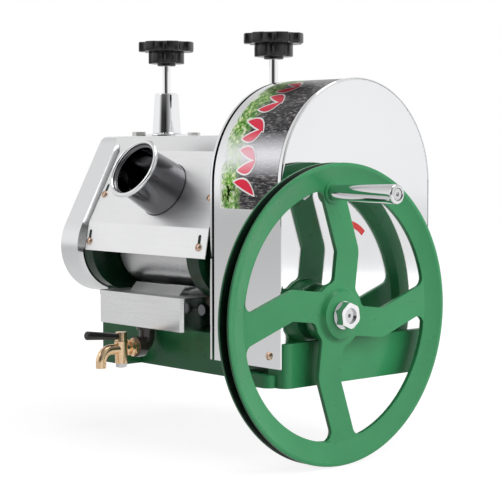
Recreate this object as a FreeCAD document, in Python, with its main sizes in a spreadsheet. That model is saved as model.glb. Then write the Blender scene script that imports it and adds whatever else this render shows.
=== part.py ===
"""Manual three-roller sugarcane juicer, as a parametric FreeCAD document.

Frame: the origin is the centre of the base's underside, +X points along the
roller and wheel axles to the wheel side, +Y to the back, +Z up. Millimetres.
"""
import FreeCAD, Part
import math
import os
from types import SimpleNamespace

import Sketcher

Vector = FreeCAD.Vector
Rotation = FreeCAD.Rotation
Placement = FreeCAD.Placement

# --------------------------------------------------------------------------
# Driving dimensions
# --------------------------------------------------------------------------
SIZES = dict(
    # cast-iron base
    base_left=-214.0, base_right=195.0, base_depth=230.0, base_height=54.5, base_wall=6.0,
    left_bar=42.0, middle_bar_left=0.0, middle_bar_right=50.0,
    side_bar=30.0, side_bar_height=56.0, base_corner=12.0,
    lug_hole_x=148.0, lug_hole_y=131.0, lug_half_width=30.0, lug_reach=147.0, lug_height=16.0,
    lug_hole_radius=5.5,
    # flywheel and its shaft
    wheel_axis_y=-68.0, wheel_axis_z=91.0, wheel_radius=190.0, wheel_front=230.0, wheel_width=20.0,
    rim_depth=25.0, spoke_width=37.0, spoke_thickness=14.0, hub_radius=38.0, hub_length=32.0,
    groove_mouth=12.0, groove_floor=6.0, groove_depth=12.0,
    wheel_shaft_radius=15.0, wheel_shaft_left=13.0, wheel_thread_radius=10.0, wheel_shaft_right=241.0,
    wheel_nut_flats=30.0, wheel_nut_thickness=14.0,
    # handle
    handle_y=-12.0, handle_z=153.0, handle_length=98.0, handle_root_radius=9.5, handle_end_radius=11.0,
    handle_bolt_radius=6.0, handle_boss=6.0,
    # gears
    gear_module=4.0, pinion_teeth=25, drive_teeth=62, roller_teeth=27,
    drive_left=66.0, drive_width=38.0, pinion_left=64.0, pinion_width=42.0,
    roller_gear_left=-246.0, roller_gear_width=24.0,
    # rollers
    roller_radius=53.5, roller_left=-170.0, roller_length=146.0, roller_spread=58.5,
    journal_radius=17.5, roller_neck_radius=24.0, gear_seat_radius=15.0, gear_seat_flat=12.0,
    roller_shaft_left=-252.0,
    # side plates
    left_plate=-214.0, right_plate=17.5, plate_thickness=24.0, plate_inset=6.0, plate_neck=100.0,
    boss_radius=52.0, left_boss=9.5, right_boss=18.5,
    block_half_width=36.0, block_bottom=218.0, block_height=66.0, slot_bottom=196.0, slot_top=298.0,
    bush_wall=5.5,
    # housing shells
    sheet=1.2, cap_left=-260.0, cap_right=-218.0, cap_low_y=84.0, cap_low_z=159.0, cap_low_radius=67.5,
    cap_top_y=66.5, cap_top_z=300.0, cap_top_radius=16.0,
    panel_right=52.0, panel_top=314.9, panel_top_y=81.0, panel_band_z=294.0, panel_knee_y=136.0,
    panel_knee_z=194.0, panel_foot_y=143.0, panel_foot_z=155.0,
    feed_x=-72.0, feed_along=59.0, feed_base_radius=38.0, feed_neck_radius=34.5, feed_lip_radius=44.0,
    feed_length=62.0,
    # gear cover
    cover_radius=136.0, cover_axis_z=252.3, cover_left=63.0, cover_right=190.0, cover_foot_z=24.0,
    cover_side_z=56.4, back_plate_left=53.0, back_plate_depth=5.5,
    # adjusting screws and towers
    tower_foot_radius=32.0, tower_base_radius=19.0, tower_top_radius=15.5, tower_height=57.0,
    tower_foot_thickness=3.5, screw_radius=5.2, screw_pad_radius=14.0,
    knob_radius=37.5, knob_bottom=410.0, knob_hub_radius=12.5, knob_collar_z=422.0,
    knob_collar_radius=24.0, knob_head_z=439.0, knob_top_z=453.0, knob_lobes=7,
    # tray and tap
    tray_left=-178.0, tray_right=5.0, tray_front=-143.0, tray_back=96.0, tray_lift=0.2,
    tray_top=100.0, tray_back_top=66.0, tap_x=-86.5, tap_axis_z=28.0, elbow_y=-130.0,
    elbow_radius=11.0, elbow_bore=8.0, elbow_bend=14.0, socket_radius=14.0,
    plug_y=-174.0, spout_radius=7.0, spout_bore=4.5, spout_end_z=4.0,
    # running clearance in a bearing, and clearance of a bolt in its hole
    running=0.05, bolt_clearance=0.4,
)


class Size(float):
    """A number that also carries the spreadsheet formula it came from."""

    def __new__(cls, value, formula):
        number = float.__new__(cls, value)
        number.formula = formula
        return number

    def __add__(self, other):
        return Size(float(self) + float(other), "(%s + %s)" % (self.formula, written(other)))

    def __radd__(self, other):
        return Size(float(other) + float(self), "(%s + %s)" % (written(other), self.formula))

    def __sub__(self, other):
        return Size(float(self) - float(other), "(%s - %s)" % (self.formula, written(other)))

    def __rsub__(self, other):
        return Size(float(other) - float(self), "(%s - %s)" % (written(other), self.formula))

    def __mul__(self, other):
        return Size(float(self) * float(other), "(%s * %s)" % (self.formula, written(other)))

    def __rmul__(self, other):
        return Size(float(other) * float(self), "(%s * %s)" % (written(other), self.formula))

    def __truediv__(self, other):
        return Size(float(self) / float(other), "(%s / %s)" % (self.formula, written(other)))

    def __neg__(self):
        return Size(-float(self), "(-1 * %s)" % self.formula)


def written(number):
    """The formula of a size, or a plain number in brackets."""
    return number.formula if isinstance(number, Size) else "(%r)" % float(number)


def root(number):
    """Square root that keeps the formula."""
    return Size(math.sqrt(number), "sqrt(%s)" % written(number))


doc = FreeCAD.newDocument("sugarcane_juicer")


def make_sheet():
    """Write every driving dimension into the spreadsheet and return them by name."""
    sheet = doc.addObject("Spreadsheet::Sheet", "Sizes")
    for row, (name, value) in enumerate(SIZES.items(), start=1):
        sheet.set("A%d" % row, str(value))
        sheet.setAlias("A%d" % row, name)
    doc.recompute()
    return SimpleNamespace(**{name: Size(value, "Sizes." + name) for name, value in SIZES.items()})


size = make_sheet()
TEETH = SimpleNamespace(pinion=int(size.pinion_teeth), drive=int(size.drive_teeth),
                        roller=int(size.roller_teeth))

# Places worked out from the driving dimensions
drive_distance = size.gear_module * (size.pinion_teeth + size.drive_teeth) / 2
roller_distance = size.gear_module * size.roller_teeth
top_axis_z = size.wheel_axis_z + root(drive_distance * drive_distance
                                      - size.wheel_axis_y * size.wheel_axis_y)
low_axis_z = top_axis_z - root(roller_distance * roller_distance
                               - size.roller_spread * size.roller_spread)
roller_right = size.roller_left + size.roller_length
left_plate_inner = size.left_plate + size.plate_thickness
right_plate_outer = size.right_plate + size.plate_thickness
left_screw_x = size.left_plate + size.plate_thickness / 2
right_screw_x = size.right_plate + size.plate_thickness / 2
top_sheet_z = size.panel_top + size.sheet
tower_z = top_sheet_z + 0.1


# --------------------------------------------------------------------------
# Drawing helpers
# --------------------------------------------------------------------------
class Arc:
    """Arc between the corner before it and the corner after it, about a centre."""

    def __init__(self, u, v, ccw=True):
        self.u, self.v, self.ccw = u, v, ccw


class Circle:
    """A whole circle in a sketch."""

    def __init__(self, u, v, radius):
        self.u, self.v, self.radius = u, v, radius


def rectangle(low_u, high_u, low_v, high_v):
    return [(low_u, low_v), (high_u, low_v), (high_u, high_v), (low_u, high_v)]


def bind(item, name, value):
    """Set a property, bound to the sheet where the value has a formula."""
    if isinstance(value, Size):
        item.setExpression(name, value.formula)
    elif not name.startswith("Constraints"):
        setattr(item, name, value)


def lock(drawing, kind, geometry, point, value):
    number = drawing.addConstraint(Sketcher.Constraint(kind, -1, 1, geometry, point, float(value)))
    bind(drawing, "Constraints[%d]" % number, value)


def origin_feature(body, role):
    return [item for item in body.Origin.OriginFeatures if item.Role == role][0]


def draw_circle(drawing, circle):
    centre = Vector(circle.u, circle.v, 0)
    index = drawing.addGeometry(Part.Circle(centre, Vector(0, 0, 1), float(circle.radius)), False)
    lock(drawing, "DistanceX", index, 3, circle.u)
    lock(drawing, "DistanceY", index, 3, circle.v)
    number = drawing.addConstraint(Sketcher.Constraint("Radius", index, float(circle.radius)))
    bind(drawing, "Constraints[%d]" % number, circle.radius)


def draw_loop(drawing, loop):
    """Draw a closed loop of corners, joined by lines or by the Arc between two corners."""
    ends = []
    count = len(loop)
    for place, item in enumerate(loop):
        if isinstance(item, Arc):
            continue
        link = loop[(place + 1) % count]
        start = Vector(item[0], item[1], 0)
        if isinstance(link, Arc):
            after = loop[(place + 2) % count]
            centre = Vector(link.u, link.v, 0)
            first, last = start - centre, Vector(after[0], after[1], 0) - centre
            angles = [math.atan2(first.y, first.x), math.atan2(last.y, last.x)]
            if not link.ccw:
                angles.reverse()
            if angles[1] <= angles[0]:
                angles[1] += 2 * math.pi
            ring = Part.Circle(centre, Vector(0, 0, 1), first.Length)
            index = drawing.addGeometry(Part.ArcOfCircle(ring, *angles), False)
            ends.append((index, 1, 2) if link.ccw else (index, 2, 1))
            chord = last - first
            if abs(chord.x) < abs(chord.y):
                lock(drawing, "DistanceX", index, 3, link.u)
            else:
                lock(drawing, "DistanceY", index, 3, link.v)
        else:
            finish = Vector(link[0], link[1], 0)
            index = drawing.addGeometry(Part.LineSegment(start, finish), False)
            ends.append((index, 1, 2))
        lock(drawing, "DistanceX", ends[-1][0], ends[-1][1], item[0])
        lock(drawing, "DistanceY", ends[-1][0], ends[-1][1], item[1])
    for this, following in zip(ends, ends[1:] + ends[:1]):
        drawing.addConstraint(Sketcher.Constraint("Coincident", this[0], this[2],
                                                  following[0], following[1]))


def sketch(body, role, offset, loops, turn=None):
    """Attach a sketch to an origin plane of the body, moved by offset, and draw in it."""
    drawing = body.newObject("Sketcher::SketchObject", body.Name + "_sketch")
    drawing.AttachmentSupport = (origin_feature(body, role), [""])
    drawing.MapMode = "FlatFace"
    drawing.AttachmentOffset = (offset if isinstance(offset, Placement) else
                                Placement(Vector(0, 0, float(offset)), turn or Rotation()))
    if isinstance(offset, Size):
        drawing.setExpression("AttachmentOffset.Base.z", offset.formula)
    for loop in loops:
        if isinstance(loop, Circle):
            draw_circle(drawing, loop)
        else:
            draw_loop(drawing, loop)
    return drawing


def new_body(name, at=(0, 0, 0)):
    body = doc.addObject("PartDesign::Body", name)
    body.Label = name
    place(body, at)
    return body


def place(item, at):
    item.Placement = Placement(Vector(*[float(value) for value in at]), item.Placement.Rotation)
    for axis, value in zip("xyz", at):
        if isinstance(value, Size):
            item.setExpression("Placement.Base." + axis, value.formula)


def add_feature(body, kind, **values):
    """Add a PartDesign feature and make sure that it adds or removes material as it should."""
    before = body.Tip.Shape.Volume if body.Tip else 0.0
    item = body.newObject("PartDesign::" + kind, "%s_%s" % (body.Name, kind.lower()))
    for name, value in values.items():
        bind(item, name, value)
    doc.recompute()
    change = item.Shape.Volume - before
    grows = kind in ("Pad", "Revolution", "AdditivePipe", "AdditiveLoft")
    if kind in ("Pocket", "Groove") and change > -1e-3 or grows and change < 1e-3:
        raise RuntimeError("%s of %s changes nothing (%.3f)" % (kind, body.Label, change))
    return item


def pad(body, role, offset, length, *loops, turn=None):
    """Extrude loops along the plane's normal."""
    return add_feature(body, "Pad", Profile=sketch(body, role, offset, loops, turn), Length=length)


def pocket(body, role, offset, length, *loops, turn=None):
    """Cut loops along the plane's normal."""
    return add_feature(body, "Pocket", Profile=sketch(body, role, offset, loops, turn),
                       Length=length, Reversed=True)


def revolve(body, role, loop, kind="Revolution"):
    """Turn a profile about the body's X axis (XY_Plane) or Z axis (XZ_Plane)."""
    drawing = sketch(body, role, 0, [loop])
    axis = "H_Axis" if role == "XY_Plane" else "V_Axis"
    return add_feature(body, kind, Profile=drawing, ReferenceAxis=(drawing, [axis]), Angle=360.0)


def polar(body, feature, role, count):
    pattern = body.newObject("PartDesign::PolarPattern", body.Name + "_pattern")
    pattern.Originals = [feature]
    pattern.Axis = (origin_feature(body, role), [""])
    pattern.Angle = 360.0
    bind(pattern, "Occurrences", count if isinstance(count, Size) else int(count))
    pattern.Refine = False
    body.Tip = pattern
    doc.recompute()
    return pattern


def round_edges(body, radius, wanted, kind="Fillet"):
    """Fillet or chamfer the edges of the body's tip that the test picks."""
    base = body.Tip
    edges = ["Edge%d" % number for number, edge in enumerate(base.Shape.Edges, start=1) if wanted(edge)]
    if not edges:
        raise RuntimeError("no edge to round on " + body.Label)
    item = body.newObject("PartDesign::" + kind, "%s_%s" % (body.Name, kind.lower()))
    item.Base = (base, edges)
    bind(item, "Radius" if kind == "Fillet" else "Size", radius)
    body.Tip = item
    doc.recompute()
    return item


def straight_at(edge, axis, spots, reach=0.5):
    """True for a straight edge along an axis (0, 1 or 2) that passes one of the spots."""
    if edge.Curve.TypeId != "Part::GeomLine":
        return False
    ends = [vertex.Point for vertex in edge.Vertexes]
    others = [number for number in range(3) if number != axis]
    if any(abs(ends[0][number] - ends[1][number]) > 1e-4 for number in others):
        return False
    return any(all(abs(ends[0][number] - float(value)) < reach for number, value in zip(others, spot))
               for spot in spots)


def solid_feature(name, shapes):
    """A sub-part of one or more plain solids, made with Part's own functions."""
    item = doc.addObject("Part::Feature", name)
    item.Label = name
    item.Shape = shapes[0] if len(shapes) == 1 else Part.makeCompound(shapes)
    return item


def grouped(name, bodies):
    """One sub-part made of several equal bodies."""
    item = doc.addObject("Part::Compound", name)
    item.Label = name
    item.Links = bodies
    doc.recompute()
    return item


def rod(radius, length, at, along=(1, 0, 0)):
    return Part.makeCylinder(float(radius), float(length), Vector(*map(float, at)), Vector(*along))


def tube(outer, inner, length, at, along=(1, 0, 0)):
    return rod(outer, length, at, along).cut(rod(inner, length, at, along))


def block(low, high):
    lengths = [float(b) - float(a) for a, b in zip(low, high)]
    return Part.makeBox(*lengths, Vector(*map(float, low)))


def hexagon(flats, height, at, along=(0, 0, 1), turn=0.0):
    """A hexagonal prism with chamfered corners at its far end."""
    across = float(flats) / math.sqrt(3)
    corners = [Vector(across * math.cos(math.radians(60 * n + turn)),
                      across * math.sin(math.radians(60 * n + turn)), 0) for n in range(7)]
    prism = Part.Face(Part.makePolygon(corners)).extrude(Vector(0, 0, float(height)))
    dome = Part.makeCone(across + float(height), across * 0.93, float(height))
    prism = prism.common(dome)
    prism.Placement = Placement(Vector(*map(float, at)), Rotation(Vector(0, 0, 1), Vector(*along)))
    return prism


def hex_bolt(radius, flats, head, shank, at, along=(0, 0, 1)):
    """A hex bolt whose head stands at a point and whose shank runs the other way."""
    back = Vector(*along) * -1
    return hexagon(flats, head, at, along).fuse(rod(radius, shank, at, back)).removeSplitter()


def pan_screw(radius, head_radius, head, shank, at, along):
    """A pan-head screw with a cross slot, head at a point, shank the other way."""
    direction = Vector(*along)
    turn = Rotation(Vector(0, 0, 1), direction)
    crown = Part.makeSphere(head_radius * 1.5, Vector(0, 0, head - head_radius * 1.5))
    cap = Part.makeCylinder(head_radius, head, Vector(0, 0, 0)).common(crown)
    slots = [Part.makeBox(head_radius, 0.9, 1.2, Vector(-head_radius / 2, -0.45, head - 1.2)),
             Part.makeBox(0.9, head_radius, 1.2, Vector(-0.45, -head_radius / 2, head - 1.2))]
    stem = Part.makeCylinder(radius, shank, Vector(0, 0, -shank))
    screw = cap.cut(slots).fuse(stem).removeSplitter()
    screw.Placement = Placement(Vector(*map(float, at)), turn)
    return screw


# Bolts, screws and fits shared by the parts that they join
tower_bolt = SimpleNamespace(radius=5.0, flats=17.0, head=6.5, shank=24.0, places=(-52.0, 52.0))
trash = SimpleNamespace(bolt_z=111.0, bolt_radius=3.0, flats=10.0, head=4.0, hole_depth=14.0)
spacer = SimpleNamespace(radius=7.0, bolt_radius=4.0, flats=13.0, head=4.5, depth=16.0)
stud_depth = 8.0
cover_screw_z = 39.6
stud_places = [(-66.0, 296.0), (66.0, 296.0), (-128.0, 165.0), (128.0, 165.0)]
spacer_places = [(-66.0, 296.0), (66.0, 296.0), (-104.0, 122.0), (104.0, 122.0)]
thumb = SimpleNamespace(x=22.0, z=85.0)
pan = SimpleNamespace(radius=2.5, head_radius=5.2, head=3.4, shank=11.0)
shaft_bush = SimpleNamespace(radius=20.0, boss_radius=30.0,
                             boss=size.back_plate_left - right_plate_outer - 4.5)
tower_spigot = SimpleNamespace(radius=10.4, bore=8.4, depth=12.0)
plate_bolt = SimpleNamespace(radius=5.0, recess=11.0, sink=16.0, places=(-30.0, 66.0))
pedestal = SimpleNamespace(left=168.0, right=187.0, x=177.5, bolt_radius=5.0, places=(-112.0, -24.0),
                           low_y=-122.0, high_y=-14.0, foot=12.0, housing=28.0)


# --------------------------------------------------------------------------
# Base
# --------------------------------------------------------------------------
def base_frame():
    """Open cast frame with four lugs and the raised bar that carries the outer bearing."""
    half = size.base_depth / 2
    body = new_body("base_frame")
    pad(body, "XY_Plane", 0, size.base_height, rectangle(size.base_left, size.base_right, -half, half))
    round_edges(body, 10.0, lambda edge: straight_at(edge, 2, [(size.base_left, -half),
                                                               (size.base_left, half)]))
    bar_half = size.cover_radius - size.sheet
    pad(body, "XY_Plane", 0, size.side_bar_height,
        rectangle(size.base_right - size.side_bar, size.base_right, -bar_half, bar_half))
    round_edges(body, size.base_corner, lambda edge: straight_at(
        edge, 2, [(size.base_right, -bar_half), (size.base_right, bar_half)]))
    for side_x in (-1, 1):
        low_x = side_x * size.lug_hole_x - size.lug_half_width
        high_x = side_x * size.lug_hole_x + size.lug_half_width
        for side_y in (-1, 1):
            near, far = side_y * (half - 1), side_y * size.lug_reach
            pad(body, "XY_Plane", 0, size.lug_height, rectangle(low_x, high_x, near, far))
            round_edges(body, size.base_corner, lambda edge: straight_at(
                edge, 2, [(low_x, far), (high_x, far)]))
    inner = half - size.base_wall
    pocket(body, "XY_Plane", -1, size.base_height + 2,
           rectangle(size.base_left + size.left_bar, size.middle_bar_left, -inner, inner),
           rectangle(size.middle_bar_right, size.base_right - size.side_bar - 15, -inner, inner))
    holes = [Circle(x * size.lug_hole_x, y * size.lug_hole_y, size.lug_hole_radius)
             for x in (-1, 1) for y in (-1, 1)]
    pocket(body, "XY_Plane", -1, size.lug_height + 2, *holes)
    plate_holes = [Circle(x, y, plate_bolt.radius + size.bolt_clearance)
                   for x in (left_screw_x, right_screw_x) for y in plate_bolt.places]
    pocket(body, "XY_Plane", -1, size.base_height + 2, *plate_holes)
    recesses = [Circle(x, y, plate_bolt.recess) for x in (left_screw_x, right_screw_x)
                for y in plate_bolt.places]
    pocket(body, "XY_Plane", -1, plate_bolt.sink + 1, *recesses)
    pedestal_holes = [Circle(pedestal.x, y, pedestal.bolt_radius + size.bolt_clearance)
                      for y in pedestal.places]
    pocket(body, "XY_Plane", size.side_bar_height - 20, 30.0, *pedestal_holes)
    for side in (-1, 1):
        pocket(body, "XZ_Plane", side * (bar_half - 5) - 6, 12.0,
               Circle(size.cover_right - 22, cover_screw_z, pan.radius + 0.02))


# --------------------------------------------------------------------------
# Side plates and what they carry
# --------------------------------------------------------------------------
def panel_path(side):
    """Folded line of the front (-1) or rear (1) panel's outer face, from the top down."""
    return [(side * size.panel_top_y, size.panel_top - 0.1), (side * size.panel_top_y, size.panel_band_z),
            (side * size.panel_knee_y, size.panel_knee_z), (side * size.panel_foot_y, size.panel_foot_z)]


def shifted(path, distance):
    """The same folded line moved sideways, to the right of its run where distance is positive."""
    moved = []
    for place, (u, v) in enumerate(path):
        before = path[max(place - 1, 0)] if place else path[0]
        after = path[min(place + 1, len(path) - 1)]
        runs = []
        for start, finish in ((before, (u, v)), ((u, v), after)):
            step = Vector(float(finish[0] - start[0]), float(finish[1] - start[1]), 0)
            if step.Length > 0:
                runs.append(step.normalize())
        normals = [Vector(run.y, -run.x, 0) for run in runs]
        middle = (normals[0] + normals[-1]).normalize()
        reach = float(distance) / middle.dot(normals[0])
        moved.append((u + middle.x * reach, v + middle.y * reach))
    return moved


def folded(path, thickness):
    """Closed outline of a folded sheet of some thickness, to the right of the path's run."""
    return list(path) + list(reversed(shifted(path, thickness)))


def tangent_corners(inset):
    """Where the housing outline's straight flank leaves the lower and the top corner arcs."""
    low = Vector(size.cap_low_y, size.cap_low_z, 0)
    top = Vector(size.cap_top_y, size.cap_top_z, 0)
    low_radius, top_radius = size.cap_low_radius - inset, size.cap_top_radius - inset
    span = top - low
    lean = math.atan2(span.y, span.x) - math.acos((low_radius - top_radius) / span.Length)
    outward = Vector(math.cos(lean), math.sin(lean), 0)
    return low + outward * low_radius, top + outward * top_radius


def housing_outline(inset):
    """Outline shared by the end cap and, set in, by the side plates."""
    low, top = tangent_corners(inset)
    floor = size.cap_low_z - size.cap_low_radius + inset
    roof = size.cap_top_z + size.cap_top_radius - inset
    return [(-size.cap_low_y, floor), (size.cap_low_y, floor), Arc(size.cap_low_y, size.cap_low_z),
            (low.x, low.y), (top.x, top.y), Arc(size.cap_top_y, size.cap_top_z),
            (size.cap_top_y, roof), (-size.cap_top_y, roof), Arc(-size.cap_top_y, size.cap_top_z),
            (-top.x, top.y), (-low.x, low.y), Arc(-size.cap_low_y, size.cap_low_z)]


def side_plate(name, left, inner_boss_left, inner_boss_length):
    """Cast plate with a slot for the sliding block, two bossed bores and a neck to the base."""
    body = new_body(name)
    pad(body, "YZ_Plane", left, size.plate_thickness, housing_outline(size.plate_inset))
    neck_top = size.cap_low_z
    pad(body, "YZ_Plane", left, size.plate_thickness,
        rectangle(-size.plate_neck, size.plate_neck, size.base_height, neck_top))
    pad(body, "YZ_Plane", left, size.plate_thickness,
        rectangle(-size.cap_top_y, size.cap_top_y, size.slot_top - 10, size.panel_top))
    for side in (-1, 1):
        inner = shifted(panel_path(side), side * (size.sheet + 0.05))
        beyond = [(side * 200.0, inner[-1][1] - 0.5), (side * 200.0, 320.0), (inner[0][0], 320.0)]
        low = [(inner[-1][0], inner[-1][1] - 0.5)]
        pocket(body, "YZ_Plane", left - 1, size.plate_thickness + 2, inner + low + beyond)
    bosses = [Circle(side * size.roller_spread, low_axis_z, size.boss_radius) for side in (-1, 1)]
    pad(body, "YZ_Plane", inner_boss_left, inner_boss_length, *bosses)
    pocket(body, "YZ_Plane", left - 30, size.plate_thickness + 60,
           rectangle(-size.block_half_width, size.block_half_width, size.slot_bottom, size.slot_top))
    bore = size.journal_radius + size.bush_wall + 0.07
    pocket(body, "YZ_Plane", left - 30, size.plate_thickness + 60,
           *[Circle(side * size.roller_spread, low_axis_z, bore) for side in (-1, 1)])
    centre_x = left + size.plate_thickness / 2
    pocket(body, "XY_Plane", size.slot_top - 2, 30.0, Circle(centre_x, 0, size.screw_radius + 0.4))
    pocket(body, "XY_Plane", size.panel_top - tower_spigot.depth, tower_spigot.depth + 1,
           Circle(centre_x, 0, tower_spigot.radius + 0.05))
    pocket(body, "XY_Plane", size.panel_top - tower_bolt.shank, tower_bolt.shank + 1,
           *[Circle(centre_x, y, tower_bolt.radius + 0.2) for y in tower_bolt.places])
    pocket(body, "XY_Plane", size.base_height - 1, 22.0,
           *[Circle(centre_x, y, plate_bolt.radius + 0.2) for y in plate_bolt.places])
    pocket(body, "YZ_Plane", left - 1, size.plate_thickness + 30,
           Circle(0, trash.bolt_z, trash.bolt_radius + 0.3))
    return body


def panel_normal(side, start, finish):
    """Outward direction and a run down the face of one flat part of a panel."""
    path = panel_path(side)
    run = Vector(0, float(path[finish][0] - path[start][0]), float(path[finish][1] - path[start][1]))
    run.normalize()
    return Vector(0, -run.z * side, run.y * side), run


def panel_spot(side, start, x, along):
    """Point on a panel's outer face, at a distance down from one of its bends."""
    run = panel_normal(side, start, start + 1)[1]
    y, z = panel_path(side)[start]
    return Vector(float(x), float(y) + run.y * along, float(z) + run.z * along)


# Screw places on the panels: the bend that each is measured from, X, and the way down the face
panel_screw_places = [(2, left_screw_x - 1, 27.0), (2, right_screw_x + 7, 25.0),
                      (1, left_screw_x, 69.0), (1, right_screw_x, 69.0)]


def face_placement(point, normal):
    """Placement of a sketch on a slanted face, given in the frame of the XZ plane."""
    lean = math.degrees(math.atan2(-normal.z, -normal.y))
    turn = Rotation(Vector(1, 0, 0), lean)
    return Placement(Vector(point.x, point.z, -point.y), turn)


def screw_hole(body, side, start, x, along):
    """Hole for a panel screw, square to the panel's face."""
    normal = panel_normal(side, start, start + 1)[0]
    spot = panel_spot(side, start, x, along) + normal * 3
    drawing = sketch(body, "XZ_Plane", face_placement(spot, normal), [Circle(0, 0, pan.radius + 0.02)])
    add_feature(body, "Pocket", Profile=drawing, Length=3.0 + pan.shank + 1)


def side_plates():
    left = side_plate("left_side_plate", size.left_plate, left_plate_inner - 1, size.left_boss + 1)
    pocket(left, "YZ_Plane", size.left_plate - 1, stud_depth + 1,
           *[Circle(y, z, spacer.bolt_radius + 0.2) for y, z in stud_places])
    right = side_plate("right_side_plate", size.right_plate, size.right_plate - size.right_boss,
                       size.right_boss + 1)
    pad(right, "YZ_Plane", right_plate_outer - 1, shaft_bush.boss + 1,
        Circle(size.wheel_axis_y, size.wheel_axis_z, shaft_bush.boss_radius))
    pocket(right, "YZ_Plane", size.right_plate - 5, size.plate_thickness + 30,
           Circle(size.wheel_axis_y, size.wheel_axis_z, shaft_bush.radius + 0.02))
    pocket(right, "YZ_Plane", right_plate_outer - spacer.depth, spacer.depth + 1,
           *[Circle(y, z, spacer.bolt_radius + 0.2) for y, z in spacer_places])
    pocket(right, "XZ_Plane", size.plate_neck - 9.0, 10.0, Circle(thumb.x, thumb.z, 3.1))
    for number, (start, x, along) in enumerate(panel_screw_places):
        for side in (-1, 1):
            screw_hole(right if number % 2 else left, side, start, x, along)


def bearing_blocks():
    blocks = []
    for name, left in (("left_block", size.left_plate), ("right_block", size.right_plate)):
        body = new_body(name)
        blocks.append(body)
        half = size.block_half_width - 0.1
        pad(body, "YZ_Plane", left, size.plate_thickness,
            rectangle(-half, half, size.block_bottom, size.block_bottom + size.block_height))
        pocket(body, "YZ_Plane", left - 1, size.plate_thickness + 2,
               Circle(0, top_axis_z, size.journal_radius + size.running))
    grouped("bearing_blocks", blocks)


def disc_springs():
    """Stacks of cupped discs that lift each bearing block."""
    discs, outer, inner, thickness = 6, 11.0, 5.0, 1.2
    pitch = float(size.block_bottom - size.slot_bottom) / discs
    slant = pitch - thickness
    stacks = []
    for x in (left_screw_x, right_screw_x):
        for y in (-20.0, 20.0):
            for number in range(discs):
                foot = float(size.slot_bottom) + number * pitch
                inner_z, outer_z = (foot + slant, foot) if number % 2 == 0 else (foot, foot + slant)
                ring = Part.makePolygon([Vector(inner, 0, inner_z), Vector(outer, 0, outer_z),
                                         Vector(outer, 0, outer_z + thickness),
                                         Vector(inner, 0, inner_z + thickness),
                                         Vector(inner, 0, inner_z)])
                disc = Part.Face(ring).revolve(Vector(0, 0, 0), Vector(0, 0, 1), 360)
                disc.translate(Vector(float(x), y, 0))
                stacks.append(disc)
    solid_feature("disc_springs", stacks)
    solid_feature("pressure_pads", [
        rod(size.screw_pad_radius, 6.0 - 0.05, (x, 0, size.block_bottom + size.block_height + 0.02),
            (0, 0, 1)).cut(rod(size.screw_radius + 0.3, 3.0, (x, 0, size.block_bottom + size.block_height
                                                              + 3.0), (0, 0, 1)))
        for x in (left_screw_x, right_screw_x)])


def roller_bushes():
    outer = size.journal_radius + size.bush_wall + 0.05
    inner = size.journal_radius + size.running
    spots = [(left, side * size.roller_spread, low_axis_z) for side in (-1, 1)
             for left in (size.left_plate, size.right_plate - size.right_boss)]
    bosses = (size.left_boss, size.right_boss)
    solid_feature("roller_bushes", [
        tube(outer, inner, size.plate_thickness + bosses[number % 2], spot)
        for number, spot in enumerate(spots)])


def trash_plate():
    """Narrow bridge under the top roller that carries crushed cane to the rear roller."""
    body = new_body("trash_plate")
    clearance = size.roller_radius + 3.0
    edge_z = top_axis_z - root(clearance * clearance - 11.0 * 11.0)
    outline = [(-8.0, 104.0), (8.0, 104.0), (8.0, 117.0), (3.5, 124.0), (3.5, 178.0), (11.0, 190.0),
               (11.0, edge_z), Arc(0, top_axis_z, ccw=False), (-11.0, edge_z), (-11.0, 190.0),
               (-3.5, 178.0), (-3.5, 124.0), (-8.0, 117.0)]
    length = size.right_plate - left_plate_inner
    pad(body, "YZ_Plane", left_plate_inner, length, outline)
    hole = Circle(0, trash.bolt_z, trash.bolt_radius + 0.2)
    pocket(body, "YZ_Plane", left_plate_inner - 1, trash.hole_depth + 1, hole)
    pocket(body, "YZ_Plane", size.right_plate - trash.hole_depth, trash.hole_depth + 1, hole)


# --------------------------------------------------------------------------
# Gears and rollers
# --------------------------------------------------------------------------
PRESSURE_ANGLE = math.radians(20)
BACKLASH = 0.25


def gap_corners(teeth):
    """Corners of one involute tooth gap, centred on the sketch's upward axis."""
    module = float(size.gear_module)
    pitch = module * teeth / 2
    base = pitch * math.cos(PRESSURE_ANGLE)
    involute = math.tan(PRESSURE_ANGLE) - PRESSURE_ANGLE

    def half_angle(radius):
        slope = math.acos(min(1.0, base / radius))
        return (math.pi / 2 / teeth - involute + math.tan(slope) - slope + BACKLASH / 2 / pitch)

    radii = [pitch - 1.25 * module, pitch - 0.5 * module, pitch + 0.3 * module, pitch + 1.2 * module]
    right = [(radius * math.sin(half_angle(radius)), radius * math.cos(half_angle(radius)))
             for radius in radii]
    return [(-u, v) for u, v in reversed(right)] + right


def mesh_turn(teeth, turn, other_teeth, direction):
    """Turn, in degrees, of a gear that meshes with a gear turned by turn, seen along direction."""
    tooth = 90 + 180 / teeth + turn
    gap = direction + 180 - (tooth - direction) * teeth / other_teeth
    return gap - 90


def direction(from_y, from_z, to_y, to_z):
    return math.degrees(math.atan2(float(to_z - from_z), float(to_y - from_y)))


PINION_TURN = mesh_turn(TEETH.drive, 0.0, TEETH.pinion,
                        direction(0, top_axis_z, size.wheel_axis_y, size.wheel_axis_z))
FRONT_TURN = mesh_turn(TEETH.roller, 0.0, TEETH.roller,
                       direction(0, top_axis_z, -size.roller_spread, low_axis_z))
REAR_TURN = mesh_turn(TEETH.roller, 0.0, TEETH.roller,
                      direction(0, top_axis_z, size.roller_spread, low_axis_z))
KEY = SimpleNamespace(half_width=4.0, depth=4.0, rise=3.0)


def turned(body, degrees):
    """Turn a body about its own X axis."""
    body.Placement = Placement(body.Placement.Base, Rotation(Vector(1, 0, 0), degrees))


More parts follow.
